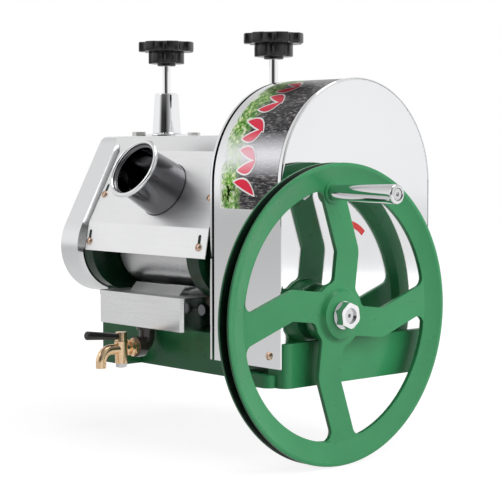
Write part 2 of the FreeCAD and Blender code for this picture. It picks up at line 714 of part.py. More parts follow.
def keyway(body, left, length, radius):
    """Slot for a key, half in the shaft and half in the hub, on the local upward side."""
    pocket(body, "YZ_Plane", left, length,
           rectangle(-KEY.half_width, KEY.half_width, radius - KEY.depth, radius + KEY.rise))


def key(left, length, radius, axis_y, axis_z, degrees):
    low = (float(left), -KEY.half_width + 0.02, float(radius) - KEY.depth + 0.02)
    high = (float(left + length), KEY.half_width - 0.02, float(radius) + KEY.rise - 0.05)
    shape = block(low, high)
    shape.Placement = Placement(Vector(0, float(axis_y), float(axis_z)),
                                Rotation(Vector(1, 0, 0), degrees))
    return shape


def flatted(radius, gap=0.0):
    """Round outline with two flats that carry the drive."""
    flat, reach = size.gear_seat_flat + gap, radius + gap
    width = root(reach * reach - flat * flat)
    return [(width, -flat), Arc(0, 0), (width, flat), (-width, flat), Arc(0, 0), (-width, -flat)]


def gear(name, teeth_size, left, width, bore, axis_y, axis_z, degrees, hub=None, web=None, flats=False):
    """Spur gear about X; hub is (radius, length beyond the face), web is (inner, outer, depth)."""
    body = new_body(name, (left, axis_y, axis_z))
    pitch = size.gear_module * teeth_size / 2
    pad(body, "YZ_Plane", 0, width, Circle(0, 0, pitch + size.gear_module))
    gap = pocket(body, "YZ_Plane", -1, width + 2, gap_corners(int(teeth_size)))
    polar(body, gap, "X_Axis", teeth_size)
    if web:
        inner, outer, depth = web
        pocket(body, "YZ_Plane", -1, depth + 1, Circle(0, 0, outer), Circle(0, 0, inner))
        pocket(body, "YZ_Plane", width - depth, depth + 1, Circle(0, 0, outer), Circle(0, 0, inner))
    if hub:
        pad(body, "YZ_Plane", width - 1, hub[1] + 1, Circle(0, 0, hub[0]))
    pocket(body, "YZ_Plane", -1, width + 40, flatted(size.gear_seat_radius, 0.02) if flats
           else Circle(0, 0, bore))
    turned(body, degrees)
    return body


def drive_train():
    bore = size.wheel_shaft_radius + 0.02
    drive = gear("drive_gear", size.drive_teeth, size.drive_left, size.drive_width, bore,
                 0, top_axis_z, 0.0, hub=(27.0, 8.0), web=(30.0, 108.0, 12.0))
    hole = pocket(drive, "YZ_Plane", -1, size.drive_width + 2, Circle(0, 69.0, 22.0))
    polar(drive, hole, "X_Axis", 6)
    keyway(drive, -1, size.drive_width + 12, size.wheel_shaft_radius)
    pinion = gear("pinion", size.pinion_teeth, size.pinion_left, size.pinion_width, bore,
                  size.wheel_axis_y, size.wheel_axis_z, PINION_TURN, hub=(24.0, 10.0))
    keyway(pinion, -1, size.pinion_width + 14, size.wheel_shaft_radius)
    for name, y, z, degrees in (("top_roller_gear", 0, top_axis_z, 0.0),
                                ("front_roller_gear", -size.roller_spread, low_axis_z, FRONT_TURN),
                                ("rear_roller_gear", size.roller_spread, low_axis_z, REAR_TURN)):
        gear(name, size.roller_teeth, size.roller_gear_left, size.roller_gear_width,
             size.gear_seat_radius + 0.02, y, z, degrees, hub=(24.0, 3.5), flats=True)


def shaft_steps(steps):
    """Half profile of a turned shaft from (x, radius) steps, closed along the axis."""
    outline = [(steps[0][0], 0.0)]
    for (left, radius), (right, _) in zip(steps, steps[1:]):
        outline += [(left, radius), (right, radius)]
    return outline + [(steps[-1][0], 0.0)]


def rollers():
    """Three rollers, each turned in one piece with its shaft."""
    left_neck = left_plate_inner + size.left_boss + 1
    right_neck = size.right_plate - size.right_boss - 1
    shaft_right = size.drive_left + size.drive_width + 18
    nut_width = size.roller_gear_left - size.roller_shaft_left - 0.5
    for name, y, z, degrees in (("top_roller", 0, top_axis_z, 0.0),
                                ("front_roller", -size.roller_spread, low_axis_z, FRONT_TURN),
                                ("rear_roller", size.roller_spread, low_axis_z, REAR_TURN)):
        is_top = name == "top_roller"
        steps = [(size.roller_shaft_left, size.gear_seat_radius - 3),
                 (size.roller_gear_left, size.gear_seat_radius), (size.left_plate - 2, size.journal_radius),
                 (left_plate_inner + 1 if is_top else left_neck, size.roller_neck_radius),
                 (size.roller_left, size.roller_radius), (roller_right, size.roller_neck_radius),
                 (size.right_plate - 1 if is_top else right_neck, size.journal_radius)]
        if is_top:
            steps += [(right_plate_outer + 6, size.wheel_shaft_radius), (shaft_right, 0)]
        else:
            steps += [(right_plate_outer, 0)]
        body = new_body(name, (0, y, z))
        revolve(body, "XY_Plane", shaft_steps(steps))
        flat, reach = size.gear_seat_flat, size.gear_seat_radius + 2
        pocket(body, "YZ_Plane", size.roller_gear_left, size.roller_gear_width + 4,
               rectangle(-reach, reach, flat, reach), rectangle(-reach, reach, -reach, -flat))
        if is_top:
            keyway(body, size.drive_left + 3, size.drive_width - 6, size.wheel_shaft_radius)
        turned(body, degrees)
        nut = hexagon(36.0, nut_width, (size.roller_gear_left - 0.1, y, z), (-1, 0, 0))
        nuts = [nut.cut(rod(size.gear_seat_radius - 2.98, 30, (size.roller_shaft_left - 5, y, z)))]
        if is_top:
            nuts.append(tube(23.0, size.wheel_shaft_radius + 0.02, 8.0,
                             (size.drive_left + size.drive_width + 8.2, 0, top_axis_z)))
        solid_feature(name + ("_nuts" if is_top else "_nut"), nuts)
    solid_feature("drive_gear_key", [key(size.drive_left + 3, size.drive_width - 6,
                                         size.wheel_shaft_radius, 0, top_axis_z, 0.0)])


# --------------------------------------------------------------------------
# Flywheel, its shaft and bearings, handle
# --------------------------------------------------------------------------
def spoke_bend(radius):
    """Sideways place of a spoke's middle line at a distance from the axle."""
    crest_radius, crest, bend = 72.0, 17.0, 0.0032
    return crest - bend * (radius - crest_radius) ** 2


def circle_through(a, b, c):
    """Centre of the circle through three points in a plane."""
    d = 2 * (a[0] * (b[1] - c[1]) + b[0] * (c[1] - a[1]) + c[0] * (a[1] - b[1]))
    squares = [p[0] ** 2 + p[1] ** 2 for p in (a, b, c)]
    u = (squares[0] * (b[1] - c[1]) + squares[1] * (c[1] - a[1]) + squares[2] * (a[1] - b[1])) / d
    v = (squares[0] * (c[0] - b[0]) + squares[1] * (a[0] - c[0]) + squares[2] * (b[0] - a[0])) / d
    return u, v


def spoke_side(radius, side):
    """Point on one side of the upward spoke, at a distance from the axle."""
    across = spoke_bend(radius) + side * float(size.spoke_width) / 2
    return across, math.sqrt(radius ** 2 - across ** 2)


def window_outline():
    """Opening between the upward spoke and the next one clockwise."""
    inner, outer = float(size.hub_radius) + 4.0, float(size.wheel_radius - size.rim_depth)
    middle = (inner + outer) / 2
    near = [spoke_side(radius, 1) for radius in (inner, middle, outer)]
    far = [(v, -u) for u, v in (spoke_side(radius, -1) for radius in (inner, middle, outer))]
    near_centre, far_centre = circle_through(*near), circle_through(*far)
    return [near[0], Arc(*near_centre), near[2], Arc(0, 0, ccw=False),
            far[2], Arc(*far_centre, ccw=False), far[0], Arc(0, 0)]


def flywheel():
    """Cast wheel with a belt groove, four curved spokes and a long hub."""
    body = new_body("flywheel", (0, size.wheel_axis_y, size.wheel_axis_z))
    front, width = size.wheel_front, size.wheel_width
    back, middle = front - width, front - width / 2
    web_front, web_back = front - 1, front - 1 - size.spoke_thickness
    hub_back = front - size.hub_length
    outer, inner = size.wheel_radius, size.wheel_radius - size.rim_depth
    mouth, floor = size.groove_mouth / 2, size.groove_floor / 2
    bore = size.wheel_shaft_radius + 0.02
    pad(body, "YZ_Plane", web_back, size.spoke_thickness, Circle(0, 0, inner + 1))
    window = pocket(body, "YZ_Plane", back - 5, width + 10, window_outline())
    polar(body, window, "X_Axis", 4)
    corners = {9.0: [], 17.0: []}
    for radius, reach in ((9.0, float(size.hub_radius) + 4.0), (17.0, float(inner))):
        for u, v in (spoke_side(reach, 1), spoke_side(reach, -1)):
            corners[radius] += [(u, v), (-v, u), (-u, -v), (v, -u)]
    for radius, spots in corners.items():
        round_edges(body, radius, lambda edge: straight_at(edge, 0, spots))
    revolve(body, "XY_Plane", [
        (front, inner + 1), (front, outer - 1), (front - 1, outer), (middle + mouth, outer),
        (middle + floor, outer - size.groove_depth), (middle - floor, outer - size.groove_depth),
        (middle - mouth, outer), (back + 1, outer), (back, outer - 1), (back, inner + 1),
        (middle, inner - 0.6)])
    revolve(body, "XY_Plane", [
        (hub_back, bore), (front, bore), (front, 31.0), (front - 2, 31.5), (front - 2, 35.0),
        (front, 35.5), (front, size.hub_radius - 1), (web_front - 1, size.hub_radius + 1),
        (web_back + 1, size.hub_radius + 1), (hub_back + 1, size.hub_radius - 2),
        (hub_back, size.hub_radius - 3)])
    pocket(body, "YZ_Plane", web_back - 1, size.spoke_thickness + 2, Circle(0, 0, bore))
    boss_radius = size.handle_root_radius + 5
    pad(body, "YZ_Plane", web_back, size.spoke_thickness + 1 + size.handle_boss,
        Circle(size.handle_y, size.handle_z, boss_radius))
    pocket(body, "YZ_Plane", back - 1, width + 20,
           Circle(size.handle_y, size.handle_z, size.handle_bolt_radius + 0.02))
    slot = [(-KEY.half_width, size.wheel_shaft_radius - KEY.depth),
            (KEY.half_width, size.wheel_shaft_radius - KEY.depth),
            (KEY.half_width, size.wheel_shaft_radius + KEY.rise),
            (-KEY.half_width, size.wheel_shaft_radius + KEY.rise)]
    pocket(body, "YZ_Plane", hub_back - 1, size.hub_length + 2, slot,
           turn=Rotation(Vector(0, 0, 1), PINION_TURN))


def wheel_shaft():
    body = new_body("flywheel_shaft", (0, size.wheel_axis_y, size.wheel_axis_z))
    shoulder = size.wheel_front - size.hub_length - 0.1
    steps = [(size.wheel_shaft_left, size.wheel_shaft_radius), (pedestal.right + 0.4, 20.0),
             (shoulder, size.wheel_shaft_radius), (size.wheel_front - 0.5, size.wheel_thread_radius),
             (size.wheel_shaft_right, 0)]
    revolve(body, "XY_Plane", shaft_steps(steps))
    keyway(body, size.pinion_left + 3, size.pinion_width - 6, size.wheel_shaft_radius)
    keyway(body, size.wheel_front - size.hub_length + 3, size.hub_length - 6, size.wheel_shaft_radius)
    pocket(body, "YZ_Plane", size.wheel_shaft_right - 5, 6.0, Circle(0, 0, 2.5))
    turned(body, PINION_TURN)
    axis = (size.wheel_axis_y, size.wheel_axis_z)
    solid_feature("flywheel_keys", [
        key(size.pinion_left + 3, size.pinion_width - 6, size.wheel_shaft_radius, *axis, PINION_TURN),
        key(size.wheel_front - size.hub_length + 3, size.hub_length - 6, size.wheel_shaft_radius,
            *axis, PINION_TURN)])
    nut = hexagon(size.wheel_nut_flats, size.wheel_nut_thickness - 2, (size.wheel_front + 2, *axis),
                  (1, 0, 0), turn=8.0)
    solid_feature("flywheel_nut", [nut.cut(rod(size.wheel_thread_radius + 0.02, 40,
                                               (size.wheel_front, *axis)))])
    solid_feature("flywheel_washer", [tube(17.5, size.wheel_thread_radius + 0.1, 1.4,
                                           (size.wheel_front + 0.55, *axis))])


def shaft_bearings():
    """Outer pedestal on the side bar, and the bushes at both ends of the shaft."""
    y, z = size.wheel_axis_y, size.wheel_axis_z
    body = new_body("outer_bearing_pedestal")
    foot_z = size.side_bar_height
    width = pedestal.right - pedestal.left
    pad(body, "YZ_Plane", pedestal.left, width,
        rectangle(pedestal.low_y, pedestal.high_y, foot_z, foot_z + pedestal.foot))
    pad(body, "YZ_Plane", pedestal.left, width,
        [(y - pedestal.housing, foot_z), (y + pedestal.housing, foot_z), (y + pedestal.housing, z),
         Arc(y, z), (y - pedestal.housing, z)])
    pocket(body, "YZ_Plane", pedestal.left - 1, width + 2, Circle(y, z, shaft_bush.radius + 0.02))
    pocket(body, "XY_Plane", foot_z - 1, pedestal.foot + 2,
           *[Circle(pedestal.x, spot, pedestal.bolt_radius + size.bolt_clearance)
             for spot in pedestal.places])
    inner = size.wheel_shaft_radius + size.running
    solid_feature("shaft_bushes", [
        tube(shaft_bush.radius, inner, width, (pedestal.left, y, z)),
        tube(shaft_bush.radius, inner, size.plate_thickness + shaft_bush.boss, (size.right_plate, y, z))])


def handle():
    y = size.wheel_axis_y + size.handle_y
    z = size.wheel_axis_z + size.handle_z
    left = size.wheel_front + size.handle_boss + 0.3
    right = left + size.handle_length
    bore = size.handle_bolt_radius + size.running
    body = new_body("handle_grip", (0, y, z))
    revolve(body, "XY_Plane", [
        (left, bore), (left, size.handle_root_radius - 1), (left + 1, size.handle_root_radius),
        (right - 12, size.handle_end_radius - 0.4), (right - 11, size.handle_end_radius),
        (right - 1.5, size.handle_end_radius), (right, size.handle_end_radius - 1.5), (right, 8.6),
        (right - 6, 8.6), (right - 6, bore)])
    head = hexagon(10.0, 4.5, (right - 5.7, y, z), (1, 0, 0))
    stem_left = size.wheel_front - size.wheel_width - 1
    solid_feature("handle_bolt", [head.fuse(rod(size.handle_bolt_radius, right - 5.7 - stem_left,
                                                (stem_left, y, z))).removeSplitter()])
    nut_left = size.wheel_front - 1 - size.spoke_thickness - 8.2
    solid_feature("handle_nut", [hexagon(19.0, 8.0, (nut_left, y, z), (1, 0, 0)).cut(
        rod(size.handle_bolt_radius + 0.02, 20, (nut_left - 5, y, z)))])


# --------------------------------------------------------------------------
# Sheet-metal housing
# --------------------------------------------------------------------------
def in_plane(edge, axis, value):
    """True for an edge that lies in the plane where one coordinate has a value."""
    return all(abs(vertex.Point[axis] - float(value)) < 1e-3 for vertex in edge.Vertexes)


def left_end_cap():
    """Drawn pan over the roller gears, held by four studs."""
    body = new_body("left_end_cap")
    depth = size.cap_right - size.cap_left
    pad(body, "YZ_Plane", size.cap_left, depth, housing_outline(0))
    round_edges(body, 3.0, lambda edge: in_plane(edge, 0, size.cap_left))
    pocket(body, "YZ_Plane", size.cap_left + size.sheet, depth, housing_outline(size.sheet))
    round_edges(body, 1.8, lambda edge: in_plane(edge, 0, size.cap_left + size.sheet))
    pocket(body, "YZ_Plane", size.cap_left - 1, size.sheet + 2,
           *[Circle(y, z, pan.radius + 0.3) for y, z in stud_places])
    stud_length = size.left_plate - size.cap_left - size.sheet - 0.1
    studs = []
    for y, z in stud_places:
        stem = rod(spacer.bolt_radius, stud_depth, (size.left_plate - 1, y, z))
        column = rod(5.0, stud_length, (size.left_plate - 0.05 - stud_length, y, z))
        hole = rod(pan.radius, pan.shank + 1, (size.cap_left + size.sheet, y, z))
        studs.append(column.fuse(stem).cut(hole).removeSplitter())
    gap = size.back_plate_left - right_plate_outer
    studs += [tube(spacer.radius, spacer.bolt_radius + 0.2, gap - 0.1, (right_plate_outer + 0.05, y, z))
              for y, z in spacer_places]
    solid_feature("cover_studs", studs)


def slot_outline(half_width, low, high):
    return [(half_width, low), (half_width, high), Arc(0, high), (-half_width, high),
            (-half_width, low), Arc(0, low)]


def side_panel(name, side):
    """Folded sheet over the front or the back of the rollers."""
    body = new_body(name)
    left, length = size.left_plate - 3.7, size.panel_right - size.left_plate + 3.7
    pad(body, "YZ_Plane", left, length, folded(panel_path(side), side * size.sheet))
    outer = panel_path(side)[1:3]
    inner = shifted(panel_path(side), side * size.sheet)[1:3]
    round_edges(body, 3.6, lambda edge: straight_at(edge, 0, outer))
    round_edges(body, 2.4, lambda edge: straight_at(edge, 0, inner))
    for start, x, along in panel_screw_places:
        spot = panel_spot(side, start, x, along)
        normal = panel_normal(side, start, start + 1)[0]
        offset = face_placement(spot + normal * 3, normal)
        cut = add_feature(body, "Pocket", Profile=sketch(body, "XZ_Plane", offset,
                                                         [slot_outline(2.9, 0.0, 14.0)]), Length=8.0)
    return body


def panels():
    front = side_panel("front_panel", -1)
    normal = panel_normal(-1, 1, 2)[0]
    mouth = panel_spot(-1, 1, size.feed_x, size.feed_along)
    hole = sketch(front, "XZ_Plane", face_placement(mouth + normal * 3, normal),
                  [Circle(0, 0, size.feed_base_radius + 0.1)])
    add_feature(front, "Pocket", Profile=hole, Length=8.0)
    feed_tube(mouth, normal)

    rear = side_panel("rear_panel", 1)
    normal = panel_normal(1, 1, 2)[0]
    centre = panel_spot(1, 1, discharge.x, discharge.along)
    opening = sketch(rear, "XZ_Plane", face_placement(centre - normal * 5, normal),
                     [rectangle(-discharge.half_width, discharge.half_width,
                                -discharge.half_height, discharge.half_height)])
    add_feature(rear, "Pocket", Profile=opening, Length=8.0, Reversed=True)
    discharge_chute(centre, normal)

    top = new_body("top_panel")
    left, right = size.left_plate - 3.8, size.panel_right
    holes = [Circle(x, y, tower_bolt.radius + 0.4) for x in (left_screw_x, right_screw_x)
             for y in tower_bolt.places]
    holes += [Circle(x, 0, tower_spigot.radius + 0.3) for x in (left_screw_x, right_screw_x)]
    pad(top, "XY_Plane", size.panel_top, size.sheet,
        rectangle(left, right, -size.panel_top_y, size.panel_top_y), *holes)


discharge = SimpleNamespace(x=-95.0, along=55.0, half_width=70.0, half_height=34.0)


def feed_tube(mouth, normal):
    """Flared tube that passes through the front panel, with a flange behind it."""
    body = new_body("feed_tube")
    body.Placement = Placement(mouth, Rotation(Vector(0, 0, 1), normal))
    base, neck, wall = size.feed_base_radius, size.feed_neck_radius, size.sheet + 0.4
    neck_z, flare = size.feed_length - 14, 14.0
    lip_reach = size.feed_lip_radius
    lip_z = neck_z + root(flare * flare - (neck + flare - lip_reach) * (neck + flare - lip_reach))
    inner_flare = flare + wall
    inner_lip_z = neck_z + root(inner_flare * inner_flare
                                - (neck + flare - lip_reach) * (neck + flare - lip_reach))
    back = -size.sheet - 0.1
    revolve(body, "XZ_Plane", [
        (base - wall, back - 1.4), (base + 4, back - 1.4), (base + 4, back), (base, back), (base, 0),
        (neck, neck_z), Arc(neck + flare, neck_z, ccw=False), (lip_reach, lip_z),
        (lip_reach, inner_lip_z), Arc(neck + flare, neck_z), (neck - wall, neck_z), (base - wall, 0)])
    return body


def discharge_chute(centre, normal):
    """Sloping floor with two cheeks in the opening at the back, on two flanges."""
    body = new_body("discharge_chute")
    half = discharge.half_width - 1.0
    left, right = discharge.x - half, discharge.x + half
    run = panel_normal(1, 1, 2)[1]
    low = centre + run * (discharge.half_height - 3.0)
    out_y, out_z = low.y + 62.0, low.z - 34.0
    in_y, in_z = low.y - 20.0, low.z + 8.0
    floor_path = [(in_y, in_z), (low.y, low.z), (out_y, out_z)]
    pad(body, "YZ_Plane", left, 2 * half, folded(floor_path, size.sheet))
    top = centre - run * (discharge.half_height - 8.0) + normal * 1.0
    cheek = [(low.y, low.z), (out_y, out_z), (out_y + 4.0, out_z + 24.0), (top.y, top.z)]
    for x in (left, right - size.sheet):
        pad(body, "YZ_Plane", x, size.sheet, cheek)
    foot = low + normal * 0.1
    head = top + normal * (0.1 - normal.dot(top - centre))
    foot = foot - normal * normal.dot(foot - centre) + normal * 0.1
    flange = folded([(foot.y, foot.z), (head.y, head.z)], size.sheet)
    for x in (left - 12.0, right - size.sheet):
        pad(body, "YZ_Plane", x, 12.0 + size.sheet, flange)
    return body


def gear_cover():
    """Polished arch over the drive gear, and the shallow pan behind it."""
    radius, axis_z = size.cover_radius, size.cover_axis_z
    sheet = size.sheet

    def arch(reach, foot):
        return [(-reach, foot), (reach, foot), (reach, axis_z), Arc(0, axis_z), (-reach, axis_z)]

    cover = new_body("gear_cover")
    width = size.cover_right - size.cover_left
    pad(cover, "YZ_Plane", size.cover_left, width, arch(radius, size.cover_foot_z))
    round_edges(cover, 3.0, lambda edge: in_plane(edge, 0, size.cover_right)
                and not in_plane(edge, 2, size.cover_foot_z))
    pocket(cover, "YZ_Plane", size.cover_left - 1, width + 1 - sheet,
           arch(radius - sheet, size.cover_foot_z - 1))
    pocket(cover, "YZ_Plane", size.cover_right - 8, 10.0,
           rectangle(-(radius - sheet), radius - sheet, size.cover_foot_z - 2, size.cover_side_z))
    pocket(cover, "YZ_Plane", size.cover_right - 8, 10.0, Circle(size.wheel_axis_y, size.wheel_axis_z, 21.5))
    for side in (-1, 1):
        hole = Circle(size.cover_right - 22, cover_screw_z, pan.radius + 0.3)
        pocket(cover, "XZ_Plane", side * radius - 4, 8.0, hole)

    back = new_body("cover_back_plate")
    left, depth = size.back_plate_left, size.back_plate_depth
    pad(back, "YZ_Plane", left, depth, arch(radius, size.cover_foot_z))
    round_edges(back, 2.4, lambda edge: in_plane(edge, 0, left)
                and not in_plane(edge, 2, size.cover_foot_z))
    pocket(back, "YZ_Plane", left + sheet, depth, arch(radius - sheet, size.cover_foot_z - 1))
    clear = size.base_depth / 2 + 2
    pocket(back, "YZ_Plane", left - 1, depth + 2,
           rectangle(-clear, clear, size.cover_foot_z - 2, size.base_height + 1.5))
    pocket(back, "YZ_Plane", left - 1, depth + 2,
           Circle(0, top_axis_z, size.wheel_shaft_radius + 5),
           Circle(size.wheel_axis_y, size.wheel_axis_z, size.wheel_shaft_radius + 5),
           *[Circle(y, z, spacer.bolt_radius + 0.3) for y, z in spacer_places])
    gap = left - right_plate_outer
    solid_feature("spacer_bolts", [hex_bolt(spacer.bolt_radius, spacer.flats, spacer.head,
                                            sheet + gap + spacer.depth - 2,
                                            (left + sheet + 0.05, y, z), (1, 0, 0))
                                   for y, z in spacer_places])


def sheet_screws():
    """All pan-head screws of the sheet-metal parts."""
    screws = []

    def add(point, along):
        direction = Vector(*along)
        screws.append(pan_screw(pan.radius, pan.head_radius, pan.head, pan.shank,
                                point + direction * 0.05, along))

    for side in (-1, 1):
        for start, x, along in panel_screw_places:
            normal = panel_normal(side, start, start + 1)[0]
            add(panel_spot(side, start, x, along), normal)
        add(Vector(float(size.cover_right) - 22, side * float(size.cover_radius), cover_screw_z),
            (0, side, 0))
    for y, z in stud_places:
        add(Vector(float(size.cap_left), y, z), (-1, 0, 0))
    solid_feature("sheet_screws", screws)


# --------------------------------------------------------------------------
# Towers, adjusting screws and knobs
# --------------------------------------------------------------------------
def adjusters():
    """On each side plate a tower with a brass nut, its screw and a star knob."""
    nut_low = size.tower_height - 32
    nut_top = size.tower_height - 12
    towers, nuts = [], []
    for name, x in (("left", left_screw_x), ("right", right_screw_x)):
        tower = new_body(name + "_tower", (x, 0, tower_z))
        towers.append(tower)
        hole = size.screw_radius + 0.4
        spigot, bore, depth = tower_spigot.radius, tower_spigot.bore, tower_spigot.depth
        revolve(tower, "XZ_Plane", [
            (bore, -depth), (spigot, -depth), (spigot, 0), (size.tower_foot_radius, 0),
            (size.tower_foot_radius, size.tower_foot_thickness - 1),
            (size.tower_foot_radius - 1, size.tower_foot_thickness),
            (size.tower_base_radius + 2, size.tower_foot_thickness),
            (size.tower_base_radius, size.tower_foot_thickness + 2),
            (size.tower_top_radius, size.tower_height - 1.5), (size.tower_top_radius - 1.5, size.tower_height),
            (hole, size.tower_height), (hole, nut_top), (bore, nut_top)])
        if name == "right":
            flat = size.panel_right - right_screw_x
            pocket(tower, "XY_Plane", -0.5, size.tower_foot_thickness + 2, rectangle(flat, 40.0, -40.0, 40.0))
        nuts.append(tube(bore - 0.1, size.screw_radius + 0.02, nut_top - nut_low - 0.1,
                         (x, 0, tower_z + nut_low), (0, 0, 1)))
        adjusting_screw(name + "_screw", x)
        star_knob(name + "_knob", x)
    grouped("screw_towers", towers)
    solid_feature("tower_nuts", nuts)
    bolts = [hex_bolt(tower_bolt.radius, tower_bolt.flats, tower_bolt.head, tower_bolt.shank,
                      (x, y, top_sheet_z + 0.05)) for x in (left_screw_x, right_screw_x)
             for y in tower_bolt.places]
    bolts += [hex_bolt(tower_bolt.radius, tower_bolt.flats, tower_bolt.head, tower_bolt.shank,
                       (pedestal.x, y, size.side_bar_height + pedestal.foot + 0.05))
              for y in pedestal.places]
    solid_feature("frame_bolts", bolts)


def adjusting_screw(name, x):
    body = new_body(name, (x, 0, 0))
    low = size.block_bottom + size.block_height + 3.2
    top = size.knob_top_z - 6
    revolve(body, "XZ_Plane", [(0, low), (size.screw_radius - 1, low), (size.screw_radius, low + 1.5),
                               (size.screw_radius, top), (0, top)])


def star_knob(name, x):
    body = new_body(name, (x, 0, 0))
    bore = size.screw_radius + 0.03
    top, head = size.knob_top_z, size.knob_head_z
    revolve(body, "XZ_Plane", [
        (bore, size.knob_bottom), (size.knob_hub_radius - 1, size.knob_bottom),
        (size.knob_hub_radius, size.knob_bottom + 1), (size.knob_hub_radius, size.knob_collar_z),
        (size.knob_collar_radius - 2, size.knob_collar_z + 4), (size.knob_collar_radius, head),
        (size.knob_radius, head), (size.knob_radius, top), (bore, top)])
    notch = pocket(body, "XY_Plane", head - 1, top - head + 2,
                   Circle(0, size.knob_radius + 6.0, 10.5))
    polar(body, notch, "Z_Axis", size.knob_lobes)
    round_edges(body, 3.0, lambda edge: edge.Curve.TypeId == "Part::GeomCircle"
                and edge.Curve.Radius > 36 and in_plane(edge, 2, top))
    return body


# --------------------------------------------------------------------------
# Juice tray, tap and guide
# --------------------------------------------------------------------------
def juice_tray():
    """Sliding tray on the base with a hem, a drain hole and a slotted strainer."""
    body = new_body("juice_tray")
    left, right, front, back = size.tray_left, size.tray_right, size.tray_front, size.tray_back
    bottom = size.base_height + size.tray_lift
    sheet = size.sheet
    pad(body, "XY_Plane", bottom, size.tray_top - bottom, rectangle(left, right, front, back))
    round_edges(body, 5.0, lambda edge: straight_at(edge, 2, [(left, front), (right, front)]))
    pad(body, "XY_Plane", size.tray_top - 6, 6.0,
        [(left - 1, back), (left - 1, front + 5), Arc(left + 5, front + 5), (left + 5, front - 1),
         (right - 5, front - 1), Arc(right - 5, front + 5), (right + 1, front + 5), (right + 1, back)])
    inner = [(left + sheet, back - sheet), (left + sheet, front + 5), Arc(left + 5, front + 5),
             (left + 5, front + sheet), (right - 5, front + sheet), Arc(right - 5, front + 5),
             (right - sheet, front + 5), (right - sheet, back - sheet)]
    pocket(body, "XY_Plane", bottom + sheet, size.tray_top - bottom, inner)
    pocket(body, "XY_Plane", size.tray_back_top, 60.0,
           rectangle(left + sheet, right - sheet, back - 4, back + 1))
    pocket(body, "XY_Plane", bottom - 1, sheet + 2, Circle(size.tap_x, size.elbow_y, size.elbow_bore + 1.1))

    strainer = new_body("tray_strainer")
    wide = right - left - 2 * sheet - 1
    low = bottom + sheet + 0.1
    start = left + sheet + 0.5
    pad(strainer, "YZ_Plane", start, wide, folded([(-98, low), (-110, low), (-110, low + 34)], sheet))
    slit = pocket(strainer, "XZ_Plane", 108.0, 4.0,
                  [(start + 10, low + 4), (start + 13, low + 4), (start + 13, low + 30), (start + 10, low + 30)])
    pattern = strainer.newObject("PartDesign::LinearPattern", "strainer_pattern")
    pattern.Originals = [slit]
    pattern.Direction = (origin_feature(strainer, "X_Axis"), [""])
    pattern.Length = float(wide) - 23.0
    pattern.Occurrences = 16
    strainer.Tip = pattern
    doc.recompute()


def juice_guide():
    """Sloping sheet under the rollers that leads the juice to the tray."""
    body = new_body("juice_guide")
    foot = size.base_height + 0.1 + size.sheet
    path = [(114.0, foot), (105.0, foot), (105.0, 103.0), (-70.0, 80.0), (-70.0, 72.0)]
    pad(body, "YZ_Plane", -165.0, 160.0, folded(path, -size.sheet))


def bend(radius, corner_y, corner_z, bend_radius, x):
    """Quarter bend from a vertical run above down to a run towards the front."""
    centre = Vector(float(x), float(corner_y - bend_radius), float(corner_z + bend_radius))
    start = Vector(float(x), float(corner_y), float(corner_z + bend_radius))
    disc = Part.Face(Part.Wire(Part.makeCircle(float(radius), start, Vector(0, 0, 1))))
    return disc.revolve(centre, Vector(1, 0, 0), -90)


